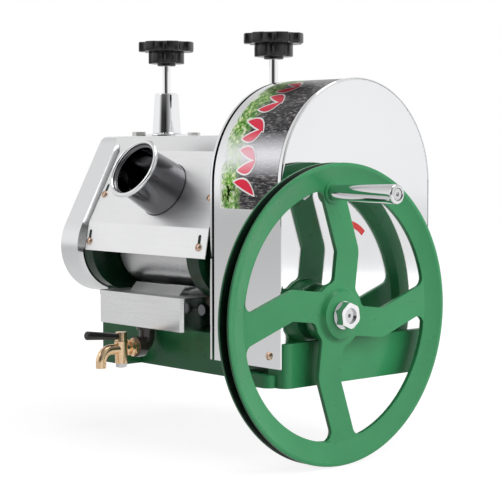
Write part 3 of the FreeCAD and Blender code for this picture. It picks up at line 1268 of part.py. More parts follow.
def drain_and_tap():
    """Plastic elbow under the tray and the brass tap on it."""
    x, y, axis_z = size.tap_x, size.elbow_y, size.tap_axis_z
    floor = size.base_height + size.tray_lift
    turn = size.elbow_bend
    front = (0, -1, 0)

    def elbow_run(radius, top_z, end_y):
        parts = [rod(radius, top_z - axis_z - turn, (x, y, axis_z + turn), (0, 0, 1)),
                 bend(radius, y, axis_z, turn, x),
                 rod(radius, y - turn - end_y, (x, y - turn, axis_z), front)]
        return parts[0].fuse(parts[1:])

    lock_y = -151.0
    outer = elbow_run(size.elbow_radius, floor - 0.1, lock_y).fuse([
        rod(size.socket_radius, 13.0, (x, lock_y + 13.0, axis_z), front),
        rod(14.0, 4.0, (x, y, floor - 4.1), (0, 0, 1)),
        rod(size.elbow_bore + 1.0, 9.0, (x, y, floor - 4.1), (0, 0, 1))])
    inner = elbow_run(size.elbow_bore - 1.5, floor + 9.0, lock_y - 1.0)
    socket = rod(7.55, 9.0, (x, lock_y + 8.0, axis_z), front)
    solid_feature("drain_elbow", [outer.cut(inner.fuse(socket)).removeSplitter()])
    solid_feature("tap_lock_nut", [hexagon(22.0, 5.0, (x, lock_y - 0.1, axis_z), front, turn=30.0).cut(
        rod(7.55, 12.0, (x, lock_y + 3.0, axis_z), front))])

    plug_y, plug_radius = size.plug_y, 5.5
    spout_y, spout_bend = -208.0, 16.0
    spout_start = plug_y

    def spout(radius, extra):
        centre = Vector(float(x), spout_y + spout_bend, float(axis_z) - spout_bend)
        disc = Part.Face(Part.Wire(Part.makeCircle(radius, centre + Vector(0, 0, spout_bend), Vector(0, 1, 0))))
        curve = disc.revolve(centre, Vector(1, 0, 0), 90)
        level = rod(radius, spout_start - (spout_y + spout_bend), (x, spout_start, axis_z), front)
        drop_z = float(axis_z) - spout_bend
        drop = rod(radius, drop_z - size.spout_end_z + extra, (x, spout_y, drop_z), (0, 0, -1))
        return level.fuse([curve, drop])

    housing = Part.makeCone(8.2, 9.4, 30.0, Vector(float(x), float(plug_y), 8.0))
    neck = rod(7.5, plug_y * -1 + lock_y + 7.0, (x, lock_y + 7.0, axis_z), front)
    shoulder = rod(10.5, 5.0, (x, lock_y - 5.3, axis_z), front)
    body = housing.fuse([neck, shoulder, spout(float(size.spout_radius), 0.0)])
    passage = rod(size.spout_bore, 40.0, (x, lock_y + 8.0, axis_z), front)
    plug_bore = rod(plug_radius + 0.05, 40.0, (x, plug_y, 4.0), (0, 0, 1))
    solid_feature("tap_body", [body.cut([passage, plug_bore, spout(float(size.spout_bore), 1.0)])
                               .removeSplitter()])

    plug = rod(plug_radius, 30.8, (x, plug_y, 7.9), (0, 0, 1)).cut(
        rod(size.spout_bore - 0.5, 20.0, (x, plug_y + 10, axis_z), front))
    head = Part.makeCone(8.6, 7.4, 12.0, Vector(float(x), float(plug_y), 38.4))
    arm = rod(2.6, 34.0, (x, plug_y, 44.0), (0, -0.995, 0.1))
    tail = rod(3.0, 6.4, (x, plug_y, 1.8), (0, 0, 1))
    solid_feature("tap_plug", [plug.fuse([head, arm, tail]).removeSplitter()])
    solid_feature("tap_plug_nut", [hexagon(13.0, 5.0, (x, plug_y, 2.7)).cut(
        rod(3.02, 12.0, (x, plug_y, 0), (0, 0, 1)))])
    lever = Part.makeCone(4.4, 6.0, 50.0, Vector(0, 0, 8.8))
    hollow = Part.makeCylinder(2.62, 30.0, Vector(0, 0, 4.4))
    lever = lever.cut(hollow)
    tip = [edge for edge in lever.Edges if in_plane(edge, 2, 58.8)]
    lever = lever.makeFillet(2.4, tip)
    lever.Placement = Placement(Vector(float(x), float(plug_y), 44.0),
                                Rotation(Vector(0, 0, 1), Vector(0, -0.995, 0.1)))
    solid_feature("tap_lever", [lever])


# --------------------------------------------------------------------------
# Remaining fasteners
# --------------------------------------------------------------------------
def fasteners():
    solid_feature("side_plate_bolts", [
        hex_bolt(plate_bolt.radius, 17.0, 6.5, size.base_height - plate_bolt.sink + 18,
                 (x, y, plate_bolt.sink - 0.05), (0, 0, -1))
        for x in (left_screw_x, right_screw_x) for y in plate_bolt.places])
    depth = size.plate_thickness + trash.hole_depth - 3
    solid_feature("trash_plate_bolts", [
        hex_bolt(trash.bolt_radius, trash.flats, trash.head, depth,
                 (size.left_plate - 0.05, 0, trash.bolt_z), (-1, 0, 0)),
        hex_bolt(trash.bolt_radius, trash.flats, trash.head, depth,
                 (right_plate_outer + 0.05, 0, trash.bolt_z), (1, 0, 0))])
    spot = (thumb.x, -114.0, thumb.z)
    head = Part.makeCylinder(7.5, 9.0, Vector(*spot), Vector(0, -1, 0))
    grooves = [Part.makeCylinder(0.8, 9.0, Vector(spot[0] + 7.7 * math.cos(math.radians(20 * n)), spot[1],
                                                  spot[2] + 7.7 * math.sin(math.radians(20 * n))),
                                 Vector(0, -1, 0)) for n in range(18)]
    stem = rod(3.0, 22.0, (spot[0], spot[1] + 22.0, spot[2]), (0, -1, 0))
    collar = rod(5.0, 6.0, (spot[0], -100.05, spot[2]), (0, -1, 0))
    solid_feature("thumb_screw", [head.cut(grooves).fuse([stem, collar]).removeSplitter()])


# --------------------------------------------------------------------------
# Build, check and write
# --------------------------------------------------------------------------
def sub_parts():
    """The objects that are written: bodies, plain solids and groups, but no member of a group."""
    groups = [item for item in doc.Objects if item.TypeId == "Part::Compound"]
    members = [link.Name for group in groups for link in group.Links]
    return [item for item in doc.Objects if item.Name not in members
            and item.TypeId in ("PartDesign::Body", "Part::Feature", "Part::Compound")]


def check_document():
    """Stop on a feature in error or a shape that is empty or not valid."""
    doc.recompute()
    for item in doc.Objects:
        if "Invalid" in item.State or "Error" in item.State:
            raise RuntimeError("%s is in error: %s" % (item.Name, item.State))
    for item in sub_parts():
        if item.Shape.isNull() or not item.Shape.isValid() or not item.Shape.Solids:
            raise RuntimeError("%s has no valid solid" % item.Label)


def write_parts():
    os.makedirs("parts", exist_ok=True)
    for item in sub_parts():
        item.Shape.exportStep("parts/%s.step" % item.Label)


for step in (base_frame, side_plates, bearing_blocks, disc_springs, roller_bushes, trash_plate,
             drive_train, rollers, flywheel, wheel_shaft, shaft_bearings, handle, left_end_cap, panels,
             gear_cover, sheet_screws, adjusters, juice_tray, juice_guide, drain_and_tap, fasteners):
    step()
check_document()
write_parts()
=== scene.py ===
"""Looks of the manual sugarcane juicer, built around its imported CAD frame."""
import math
import random
from types import SimpleNamespace

import bmesh
import bpy
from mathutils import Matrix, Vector

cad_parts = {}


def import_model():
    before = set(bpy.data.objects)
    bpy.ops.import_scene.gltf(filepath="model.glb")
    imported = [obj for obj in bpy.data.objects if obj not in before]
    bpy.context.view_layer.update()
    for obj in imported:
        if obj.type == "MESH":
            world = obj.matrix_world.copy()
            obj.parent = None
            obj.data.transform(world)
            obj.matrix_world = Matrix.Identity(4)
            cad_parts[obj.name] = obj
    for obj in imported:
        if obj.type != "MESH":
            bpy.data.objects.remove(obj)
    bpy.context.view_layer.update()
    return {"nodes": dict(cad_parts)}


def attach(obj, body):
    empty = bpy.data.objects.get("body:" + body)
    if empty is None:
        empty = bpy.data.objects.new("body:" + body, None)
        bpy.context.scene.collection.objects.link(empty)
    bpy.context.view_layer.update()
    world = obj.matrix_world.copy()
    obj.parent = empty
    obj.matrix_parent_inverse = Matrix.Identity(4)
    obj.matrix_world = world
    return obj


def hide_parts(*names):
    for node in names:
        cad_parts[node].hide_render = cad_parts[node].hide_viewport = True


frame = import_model()
NODES = frame["nodes"]
LEAF_SEED = 4
random.seed(LEAF_SEED)


# --------------------------------------
# Material helpers
# --------------------------------------
NOISE_ROUGHNESS = 0.55


def fill_ramp(node, stops):
    elements = node.color_ramp.elements
    while len(elements) < len(stops):
        elements.new(0.5)
    for element, (position, color) in zip(elements, stops):
        element.position = position
        element.color = (*color, 1.0)


class Shader:
    """A small wrapper that builds node materials around one Principled BSDF."""

    def __init__(self, name, color, metallic, roughness, **sockets):
        self.material = bpy.data.materials.new(name)
        self.material.use_nodes = True
        self.tree = self.material.node_tree
        self.bsdf = self.tree.nodes["Principled BSDF"]
        self.set("Base Color", (*color, 1.0))
        self.set("Metallic", metallic)
        self.set("Roughness", roughness)
        for socket, value in sockets.items():
            self.set(socket.replace("_", " "), value)
        self.coordinates = self.node("TexCoord")
        self.height = None

    def set(self, socket, value):
        self.bsdf.inputs[socket].default_value = value

    def link(self, output, target):
        self.tree.links.new(output, target)

    def node(self, kind, **settings):
        node = self.tree.nodes.new("ShaderNode" + kind)
        for name, value in settings.items():
            if name in node.inputs:
                node.inputs[name].default_value = value
            else:
                setattr(node, name, value)
        return node

    def place(self, scale, rotation):
        mapping = self.node("Mapping", Scale=scale, Rotation=rotation)
        self.link(self.coordinates.outputs["Object"], mapping.inputs["Vector"])
        return mapping.outputs["Vector"]

    def noise(self, scale, detail, stretch=(1, 1, 1), rotation=(0, 0, 0)):
        noise = self.node("TexNoise", Scale=scale, Detail=detail, Roughness=NOISE_ROUGHNESS)
        self.link(self.place(stretch, rotation), noise.inputs["Vector"])
        return noise.outputs["Fac"]

    def ramp(self, source, *stops):
        """Colour by a value, through (position, colour) stops."""
        ramp = self.node("ValToRGB")
        fill_ramp(ramp, stops)
        self.link(source, ramp.inputs["Fac"])
        return ramp.outputs["Color"]

    def span(self, source, low, high, out_low, out_high):
        """Value that runs from out_low to out_high while the source runs from low to high."""
        spread = self.node("MapRange")
        for name, value in (("From Min", low), ("From Max", high), ("To Min", out_low), ("To Max", out_high)):
            spread.inputs[name].default_value = value
        self.link(source, spread.inputs["Value"])
        return spread.outputs["Result"]

    def mix(self, factor, a, b):
        mix = self.node("Mix", data_type="RGBA")
        for socket, value in ((mix.inputs["Factor"], factor), (mix.inputs["A"], a), (mix.inputs["B"], b)):
            if isinstance(value, bpy.types.NodeSocket):
                self.link(value, socket)
            else:
                socket.default_value = (*value, 1.0)
        return [out for out in mix.outputs if out.type == "RGBA"][0]

    def math(self, operation, a, b=0.0):
        node = self.node("Math", operation=operation)
        for socket, value in zip(node.inputs, (a, b)):
            if isinstance(value, bpy.types.NodeSocket):
                self.link(value, socket)
            else:
                socket.default_value = value
        return node.outputs["Value"]

    def color_from(self, output):
        self.link(output, self.bsdf.inputs["Base Color"])

    def roughness_from(self, output):
        self.link(output, self.bsdf.inputs["Roughness"])

    def bump(self, output, distance, strength):
        """Relief, stacked on any that is there already."""
        bump = self.node("Bump", Distance=distance, Strength=strength)
        self.link(output, bump.inputs["Height"])
        if self.height is not None:
            self.link(self.height, bump.inputs["Normal"])
        self.height = bump.outputs["Normal"]
        self.link(self.height, self.bsdf.inputs["Normal"])


def mirror_steel(name, tint=(0.86, 0.865, 0.875), roughness=0.05):
    """Polished metal with faint smudges."""
    shader = Shader(name, tint, 1.0, roughness)
    smudge = shader.noise(9.0, 5.0)
    shader.roughness_from(shader.span(smudge, 0.35, 0.75, roughness, roughness + 0.05))
    shader.color_from(shader.ramp(shader.noise(4.0, 3.0), (0.3, [c * 0.96 for c in tint]), (0.7, tint)))
    shader.bump(shader.noise(14.0, 2.0), 0.00008, 0.25)
    return shader.material


GRAIN_STRETCH = 60


def satin_steel(name, along, tint, low=0.2, high=0.3, grain=1.0):
    """Rolled sheet with a fine grain along one direction."""
    shader = Shader(name, tint, 1.0, low)
    stretch = {"X": (1, GRAIN_STRETCH, GRAIN_STRETCH), "Z": (GRAIN_STRETCH, GRAIN_STRETCH, 1)}[along]
    fibre = shader.noise(30.0, 3.0, stretch)
    cloud = shader.noise(7.0, 4.0)
    mixed = shader.math("ADD", shader.math("MULTIPLY", fibre, 0.5), shader.math("MULTIPLY", cloud, 0.5))
    shader.roughness_from(shader.span(mixed, 0.35, 0.65, low, high))
    shader.color_from(shader.ramp(fibre, (0.3, [c * 0.93 for c in tint]), (0.7, tint)))
    shader.bump(fibre, 0.00003 * grain, 0.5)
    return shader.material


def green_enamel(name, tint=(0.034, 0.250, 0.094)):
    """Gloss paint over a casting, with soft waves and a fine skin."""
    shader = Shader(name, tint, 0.0, 0.32, Coat_Weight=0.15, Coat_Roughness=0.12, Specular_IOR_Level=0.3)
    cloud = shader.noise(16.0, 5.0)
    shader.color_from(shader.ramp(cloud, (0.25, [c * 0.90 for c in tint]), (0.75, [c * 1.07 for c in tint])))
    shader.roughness_from(shader.span(shader.noise(60.0, 3.0), 0.3, 0.7, 0.26, 0.40))
    shader.bump(shader.noise(55.0, 3.0), 0.0004, 0.35)
    shader.bump(shader.noise(420.0, 2.0), 0.00012, 0.3)
    return shader.material


def plain_metal(name, tint, roughness, spread=0.08, waves=40.0, depth=0.00005):
    """Machined, plated or cast metal with a cloudy sheen."""
    shader = Shader(name, tint, 1.0, roughness)
    shader.roughness_from(shader.span(shader.noise(waves, 4.0), 0.3, 0.7, roughness, roughness + spread))
    shader.color_from(shader.ramp(shader.noise(waves / 3, 4.0), (0.3, [c * 0.9 for c in tint]), (0.7, tint)))
    shader.bump(shader.noise(waves * 3, 2.0), depth, 0.4)
    return shader.material


def plastic(name, tint, roughness, coat):
    """Moulded dark plastic."""
    shader = Shader(name, tint, 0.0, roughness, Coat_Weight=coat, Coat_Roughness=0.08)
    shader.color_from(shader.ramp(shader.noise(30.0, 3.0), (0.3, [c * 0.8 for c in tint]), (0.7, tint)))
    shader.roughness_from(shader.span(shader.noise(90.0, 3.0), 0.3, 0.7, roughness, roughness + 0.08))
    shader.bump(shader.noise(260.0, 2.0), 0.00005, 0.3)
    return shader.material


MATERIALS = {
    "mirror": mirror_steel("mirror_steel"),
    "chrome": mirror_steel("chrome", (0.90, 0.90, 0.91), 0.03),
    # Chrome with its tint darkened: painted shade for the dark surroundings that the feed tube, its mouth and
    # the thumb screw reflect.
    "chrome_painted_shade": mirror_steel("chrome_painted_shade", (0.17, 0.17, 0.18), 0.12),
    "grip": mirror_steel("grip_chrome", (0.70, 0.70, 0.71), 0.07),
    "satin": satin_steel("satin_steel", "X", (0.92, 0.922, 0.93)),
    "panel": satin_steel("panel_steel", "X", (0.92, 0.922, 0.93), 0.34, 0.44),
    "tin": plain_metal("bright_tin", (0.95, 0.95, 0.955), 0.45),
    "cap": satin_steel("cap_steel", "Z", (0.82, 0.825, 0.835), 0.2, 0.28, 0.6),
    "roller": satin_steel("roller_steel", "X", (0.62, 0.62, 0.63), 0.24, 0.42, 6.0),
    "turned": plain_metal("turned_steel", (0.62, 0.62, 0.63), 0.18),
    "gear": plain_metal("gear_steel", (0.30, 0.30, 0.31), 0.35, 0.15),
    "spring": plain_metal("spring_steel", (0.22, 0.22, 0.24), 0.3),
    "zinc": plain_metal("zinc_plate", (0.66, 0.66, 0.64), 0.22, 0.12),
    "bronze": plain_metal("bronze", (0.70, 0.50, 0.38), 0.2, 0.15),
    "brass": plain_metal("brass", (0.93, 0.665, 0.42), 0.16, 0.14, 60.0, 0.00012),
    "green": green_enamel("green_enamel"),
    # Near-black green for the groove's lining: painted shade in the hollow of the belt groove.
    "groove": green_enamel("groove_painted_shade", (0.006, 0.020, 0.011)),
    # Darker copy of the green enamel: painted shade for the side plates, seen deep inside the roller window.
    "shaded_green": green_enamel("green_enamel_painted_shade", (0.006, 0.050, 0.020)),
    "knob": plastic("black_bakelite", (0.005, 0.005, 0.0055), 0.2, 0.1),
    "elbow": plastic("black_elbow", (0.045, 0.032, 0.028), 0.14, 0.5),
    "sleeve": plastic("black_sleeve", (0.014, 0.014, 0.014), 0.3, 0.1),
}
NODE_MATERIALS = {
    "mirror": ["gear_cover", "cover_back_plate", "screw_towers"],
    # Feed tube and thumb screw get the darkened chrome, as painted shade.
    "chrome_painted_shade": ["feed_tube", "thumb_screw"],
    "chrome": ["left_screw", "right_screw"],
    "grip": ["handle_grip", "handle_bolt", "flywheel_nut", "flywheel_washer"],
    "panel": ["front_panel"],
    "satin": ["rear_panel", "top_panel", "discharge_chute", "juice_tray", "juice_guide"],
    "tin": ["tray_strainer"],
    "cap": ["left_end_cap"],
    "roller": ["top_roller", "front_roller", "rear_roller", "trash_plate"],
    "turned": ["flywheel_shaft", "flywheel_keys", "handle_nut", "cover_studs", "front_roller_nut",
               "rear_roller_nut", "top_roller_nuts", "drive_gear_key", "pressure_pads", "tap_plug_nut"],
    "gear": ["drive_gear", "pinion", "top_roller_gear", "front_roller_gear", "rear_roller_gear",
             "bearing_blocks"],
    "spring": ["disc_springs"],
    "zinc": ["frame_bolts", "side_plate_bolts", "spacer_bolts", "trash_plate_bolts"],
    "bronze": ["roller_bushes", "shaft_bushes", "sheet_screws", "tower_nuts"],
    "brass": ["tap_body", "tap_plug", "tap_lock_nut"],
    "green": ["base_frame", "flywheel", "outer_bearing_pedestal"],
    # Side plates in the darker green copy, as painted shade.
    "shaded_green": ["left_side_plate", "right_side_plate"],
    "knob": ["left_knob", "right_knob"],
    "elbow": ["drain_elbow"],
    "sleeve": ["tap_lever"],
}
for finish, names in NODE_MATERIALS.items():
    for name in names:
        NODES[name].data.materials.clear()
        NODES[name].data.materials.append(MATERIALS[finish])


# --------------------------------------
# Mesh helpers
# --------------------------------------
SHARP_ANGLE = math.radians(35)
ARC_STEP = math.radians(3)
MILLI = 1000


def new_mesh(name, vertices, faces, material):
    mesh = bpy.data.meshes.new(name)
    mesh.from_pydata(vertices, [], faces)
    item = bpy.data.objects.new(name, mesh)
    bpy.context.scene.collection.objects.link(item)
    mesh.materials.append(material)
    return item


def piece(name, vertices, faces, material, body, smooth=True):
    """A piece of the looks that moves with one CAD body."""
    item = new_mesh(name, vertices, faces, material)
    mesh = bmesh.new()
    mesh.from_mesh(item.data)
    bmesh.ops.recalc_face_normals(mesh, faces=mesh.faces)
    mesh.to_mesh(item.data)
    mesh.free()
    if smooth:
        for face in item.data.polygons:
            face.use_smooth = True
        item.data.set_sharp_from_angle(angle=SHARP_ANGLE)
    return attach(item, body)


def swept(rings, closed=False):
    """Vertices and faces of a tube through rings of as many points each, with its ends filled or joined."""
    count = len(rings[0])
    vertices = [point for ring in rings for point in ring]
    faces = []
    runs = len(rings) if closed else len(rings) - 1
    for i in range(runs):
        a, b = i * count, (i + 1) % len(rings) * count
        faces += [(a + k, a + (k + 1) % count, b + (k + 1) % count, b + k) for k in range(count)]
    if not closed:
        faces += [tuple(reversed(range(count))), tuple(range((len(rings) - 1) * count, len(rings) * count))]
    return vertices, faces


def revolved(profile, place, axis="X", steps=96):
    """Vertices and faces of a closed profile of (along, radius) turned round an axis."""
    x, y, z = place
    rings = []
    for k in range(steps):
        cos, sin = math.cos(2 * math.pi * k / steps), math.sin(2 * math.pi * k / steps)
        if axis == "X":
            rings.append([(x + along, y + radius * cos, z + radius * sin) for along, radius in profile])
        else:
            rings.append([(x + radius * cos, y + radius * sin, z + along) for along, radius in profile])
    return swept(rings, closed=True)


def joined(*parts):
    """One list of vertices and faces from several."""
    vertices, faces = [], []
    for more, sides in parts:
        start = len(vertices)
        vertices += more
        faces += [tuple(start + index for index in side) for side in sides]
    return vertices, faces


def rounded(corners, steps=6):
    """Outline through corners, each with its radius, with arcs in them."""
    outline = []
    for k, (corner, radius) in enumerate(corners):
        here = Vector(corner)
        if not radius:
            outline.append(tuple(here))
            continue
        before = (Vector(corners[k - 1][0]) - here).normalized()
        after = (Vector(corners[(k + 1) % len(corners)][0]) - here).normalized()
        half = before.angle(after) / 2
        reach = radius / math.tan(half)
        centre = here + (before + after).normalized() * (radius / math.sin(half))
        start, end = here + before * reach - centre, here + after * reach - centre
        for step in range(steps + 1):
            outline.append(tuple(centre + start.lerp(end, step / steps).normalized() * radius))
    return outline


def plate(outlines, low, high, soft):
    """Flat plate from its outline and those of its holes, with softened edges: points are (u, v, height).

    The curve that fills it is drawn in millimetres, because the fill fails on points that are too close.
    """
    curve = bpy.data.curves.new("outline", "CURVE")
    curve.dimensions, curve.fill_mode = "2D", "BOTH"
    curve.extrude = ((high - low) / 2 - soft) * MILLI
    curve.bevel_depth, curve.bevel_resolution, curve.offset = soft * MILLI, 2, -soft * MILLI
    for number, outline in enumerate(outlines):
        area = sum(a[0] * b[1] - b[0] * a[1] for a, b in zip(outline, outline[1:] + outline[:1]))
        is_hole = number > 0
        spline = curve.splines.new("POLY")
        spline.points.add(len(outline) - 1)
        for point, (u, v) in zip(spline.points, outline[::-1] if (area > 0) == is_hole else outline):
            point.co = (u * MILLI, v * MILLI, 0, 1)
        spline.use_cyclic_u = True
    item = bpy.data.objects.new("outline", curve)
    bpy.context.scene.collection.objects.link(item)
    bpy.context.view_layer.update()
    mesh = bpy.data.meshes.new_from_object(item.evaluated_get(bpy.context.evaluated_depsgraph_get()))
    vertices = [(vertex.co.x / MILLI, vertex.co.y / MILLI, vertex.co.z / MILLI + (low + high) / 2)
                for vertex in mesh.vertices]
    faces = [tuple(face.vertices) for face in mesh.polygons]
    bpy.data.objects.remove(item)
    bpy.data.curves.remove(curve)
    bpy.data.meshes.remove(mesh)
    return vertices, faces


def at_angle(radius, angle, centre=(0.0, 0.0)):
    return centre[0] + radius * math.cos(angle), centre[1] + radius * math.sin(angle)


def circle(radius, steps):
    return [at_angle(radius, 2 * math.pi * k / steps) for k in range(steps)]


def arc(radius, start, end):
    """Points strictly between two angles of a circle about the middle."""
    count = max(1, int(abs(end - start) / ARC_STEP))
    return [at_angle(radius, start + (end - start) * k / count) for k in range(1, count)]


def degrees(step, start, stop):
    """Angles at every step of so many degrees, as radians."""
    return [math.radians(step * k) for k in range(start, stop)]


def facing_wheel(flat, place):
    """Points (u, v, height) of a plate stood up so that its height runs along X from a place."""
    x, y, z = place
    return [(x + height, y + u, z + v) for u, v, height in flat]


# --------------------------------------
# Flywheel and grip
# --------------------------------------
WHEEL = SimpleNamespace(
    place=(0.230, -0.068, 0.091), radius=0.190, inner=0.160, width=0.020, web=0.006, drop=0.007,
    bore=0.0145, hub_length=0.032, hub_reach=0.041, hub_back=0.036, hub_chamfer=0.001, window=0.042,
    back_wall=0.020, soft=0.0006, lap=0.001, steps=180)
# (from the hub's front face, radius) down its edge, and (from the web's front, radius) into the web
HUB_EDGE = ((0.0, 0.0285), (-0.0004, 0.0296), (-0.0014, 0.0303))
HUB_ROOT = ((0.0015, 0.0328), (0.0003, 0.0345))
SPOKE = SimpleNamespace(
    width=0.0386, crest=0.0162, bend=0.0795, inner_lean=0.128, outer_lean=-0.347, hub_fillet=0.009,
    near_fillet=0.030, far_fillet=0.004, rim_fillet=0.011, rim_clear=0.0135, hub_clear=0.0108)
# (back from the front face, in from the top) round the rim's front corner
RIM_CORNER = ((0.0012, 0.0068), (0.0004, 0.0058), (0.0, 0.0046), (0.0, 0.0014), (0.0004, 0.0004),
              (0.0014, 0.0))
# (across, deep) down one side of the belt groove, and of the two faces of its dark lining, which is painted
# shade
GROOVE = ((0.0072, 0.0), (0.0064, 0.0006), (0.0034, 0.0115), (0.0026, 0.0120))
LINING_FRONT = ((0.0064, 0.0003), (0.0035, 0.0112))
LINING_BACK = ((0.0070, 0.0008), (0.0040, 0.0122))
BOSS = SimpleNamespace(radius=0.0145, bore=0.0062, rise=0.002, inset=0.001, chamfer=0.0008)
GRIP = SimpleNamespace(
    y=-0.080, z=0.244, left=0.2255, length=0.107, bore=0.00605, root=0.0095, end=0.012, chamfer=0.0008,
    swell=0.014, swell_rise=0.0004, shoulder=0.0060, round=0.0030, mouth=0.0082, mouth_chamfer=0.0006,
    seat=0.0055, seat_radius=0.0074)
BOLT = SimpleNamespace(
    left=0.2069, stem=0.006, head=0.0069, socket=0.0029, seat_gap=0.0003, head_top=0.0042, head_low=0.0014,
    soft=0.0003, base=0.0068, base_low=-0.0003, base_top=0.0016, core=0.0001)


def spoke_kink(side):
    return SPOKE.crest + side * SPOKE.width / 2, SPOKE.bend


def spoke_side(radius, side):
    """Point on one straight side of the upward spoke, at a distance from the axle."""
    lean = SPOKE.inner_lean if radius < SPOKE.bend else SPOKE.outer_lean
    start = spoke_kink(side)[0] - lean * SPOKE.bend
    square = 1 + lean * lean
    v = (math.sqrt(square * radius * radius - start * start) - start * lean) / square
    return start + lean * v, v


def window_outline(inner, outer):
    """Opening between the upward spoke and the next one clockwise."""
    def clockwise(point):
        return point[1], -point[0]

    def clear_of(points, first, last, distance):
        return [(point, 0) for point in points
                if min(math.dist(point, first), math.dist(point, last)) > distance]

    near_hub, near_kink, near_rim = spoke_side(inner, 1), spoke_kink(1), spoke_side(outer, 1)
    far_rim, far_kink, far_hub = [clockwise(point) for point in
                                  (spoke_side(outer, -1), spoke_kink(-1), spoke_side(inner, -1))]
    angles = [math.atan2(v, u) for u, v in (near_rim, far_rim, far_hub, near_hub)]
    rim = clear_of(arc(outer, angles[0], angles[1]), near_rim, far_rim, SPOKE.rim_clear)
    hub = clear_of(arc(inner, angles[2], angles[3]), far_hub, near_hub, SPOKE.hub_clear)
    corners = [(near_hub, SPOKE.hub_fillet), (near_kink, SPOKE.near_fillet), (near_rim, SPOKE.rim_fillet)]
    corners += rim + [(far_rim, SPOKE.rim_fillet), (far_kink, SPOKE.far_fillet), (far_hub, SPOKE.hub_fillet)]
    return rounded(corners + hub)


def wheel_web(front, back):
    """Flat web with four windows that leave bent spokes."""
    window = window_outline(WHEEL.window, WHEEL.inner)
    windows = []
    for _ in range(4):
        windows.append(window)
        window = [(v, -u) for u, v in window]
    outlines = [circle(WHEEL.inner + WHEEL.lap, WHEEL.steps)] + windows + [circle(WHEEL.bore, 48)]
    flat, faces = plate(outlines, back, front, WHEEL.soft)
    return facing_wheel(flat, WHEEL.place), faces


def across_groove(side):
    """Profile down one side of a groove in the rim and up the other."""
    outer, middle = WHEEL.radius, -WHEEL.width / 2
    down = [(middle + across, outer - depth) for across, depth in side]
    return down + [(middle - across, outer - depth) for across, depth in reversed(side)]


def wheel_rim(front, back):
    """Rim with rounded outer corners and a belt groove."""
    outer, left, inner = WHEEL.radius, -WHEEL.width, WHEEL.inner + WHEEL.lap / 2
    profile = [(front, inner)] + [(-across, outer - depth) for across, depth in RIM_CORNER]
    profile += across_groove(GROOVE)
    profile += [(left + across, outer - depth) for across, depth in reversed(RIM_CORNER[3:])]
    profile += [(left, outer - WHEEL.back_wall), (back, inner)]
    return revolved(profile, WHEEL.place, steps=WHEEL.steps)


def belt_groove_shade():
    """Dark lining of the belt groove: painted shade in its hollow."""
    profile = across_groove(LINING_FRONT) + across_groove(LINING_BACK)[::-1]
    lining = revolved(profile, WHEEL.place, steps=WHEEL.steps)
    piece("belt_groove_shade", *lining, MATERIALS["groove"], "flywheel")


def wheel_hub(front, back):
    """Stepped hub that runs out into the web."""
    left, reach, chamfer = -WHEEL.hub_length, WHEEL.hub_reach, WHEEL.hub_chamfer
    profile = [(left, WHEEL.bore), (0, WHEEL.bore), *HUB_EDGE]
    profile += [(front + rise, radius) for rise, radius in HUB_ROOT]
    profile += [(front - chamfer, reach), (back + chamfer, reach), (left + chamfer, WHEEL.hub_back),
                (left, WHEEL.hub_back - chamfer)]
    return revolved(profile, WHEEL.place)


def flywheel():
    """Cast wheel with a belt groove, four bent flat spokes, a hub and the boss of the handle's bolt."""
    front = -WHEEL.drop
    back = front - WHEEL.web
    boss_back, boss_front = BOSS.inset - WHEEL.width, front + BOSS.rise
    boss = revolved([(boss_back, BOSS.bore), (boss_front, BOSS.bore),
                     (boss_front, BOSS.radius - BOSS.chamfer), (boss_front - BOSS.chamfer, BOSS.radius),
                     (boss_back, BOSS.radius)], (WHEEL.place[0], GRIP.y, GRIP.z), steps=48)
    belt_groove_shade()
    casting = joined(wheel_web(front, back), wheel_rim(front, back), wheel_hub(front, back), boss)
    item = piece("flywheel_casting", *casting, MATERIALS["green"], "flywheel")
    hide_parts("flywheel")


def grip_sleeve():
    """Turned sleeve that swells towards its rounded end."""
    right, seat = GRIP.length, GRIP.length - GRIP.seat
    profile = [(0.0, GRIP.bore), (0.0, GRIP.root - GRIP.chamfer), (GRIP.chamfer, GRIP.root),
               (right - GRIP.swell, GRIP.end - GRIP.swell_rise), (right - GRIP.shoulder, GRIP.end)]
    profile += [(right - GRIP.round * (1 - math.sin(a)), GRIP.end - GRIP.round * (1 - math.cos(a)))
                for a in degrees(15, 0, 7)]
    profile += [(right, GRIP.mouth), (right - GRIP.mouth_chamfer, GRIP.mouth - GRIP.mouth_chamfer),
                (seat, GRIP.seat_radius), (seat, GRIP.bore)]
    item = piece("grip_sleeve", *revolved(profile, (GRIP.left, GRIP.y, GRIP.z), steps=64),
                 MATERIALS["grip"], "handle")
    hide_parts("handle_grip")


def grip_bolt():
    """Bolt that the sleeve turns on, with a hexagon socket in its head."""
    seat = GRIP.left + GRIP.length - GRIP.seat + BOLT.seat_gap
    place = (seat, GRIP.y, GRIP.z)
    socket = [at_angle(BOLT.socket, a) for a in degrees(60, 0, 6)]
    top, faces = plate([circle(BOLT.head, 40), socket], BOLT.head_low, BOLT.head_top, BOLT.soft)
    low, high, core, left = BOLT.base_low, BOLT.base_top, BOLT.core, BOLT.left - seat
    base = revolved([(low, 2 * core), (high, 2 * core), (high, BOLT.base), (low, BOLT.base)], place, steps=40)
    stem = revolved([(left, core), (0.0, core), (0.0, BOLT.stem), (left, BOLT.stem)], place, steps=40)
    item = piece("grip_bolt", *joined((facing_wheel(top, place), faces), base, stem), MATERIALS["grip"],
                 "flywheel")
    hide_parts("handle_bolt")


# --------------------------------------
# Towers, star knobs and screws
# --------------------------------------
SCREWS = (("left", -0.202), ("right", 0.0295))
TOWER_FOOT = 0.3162
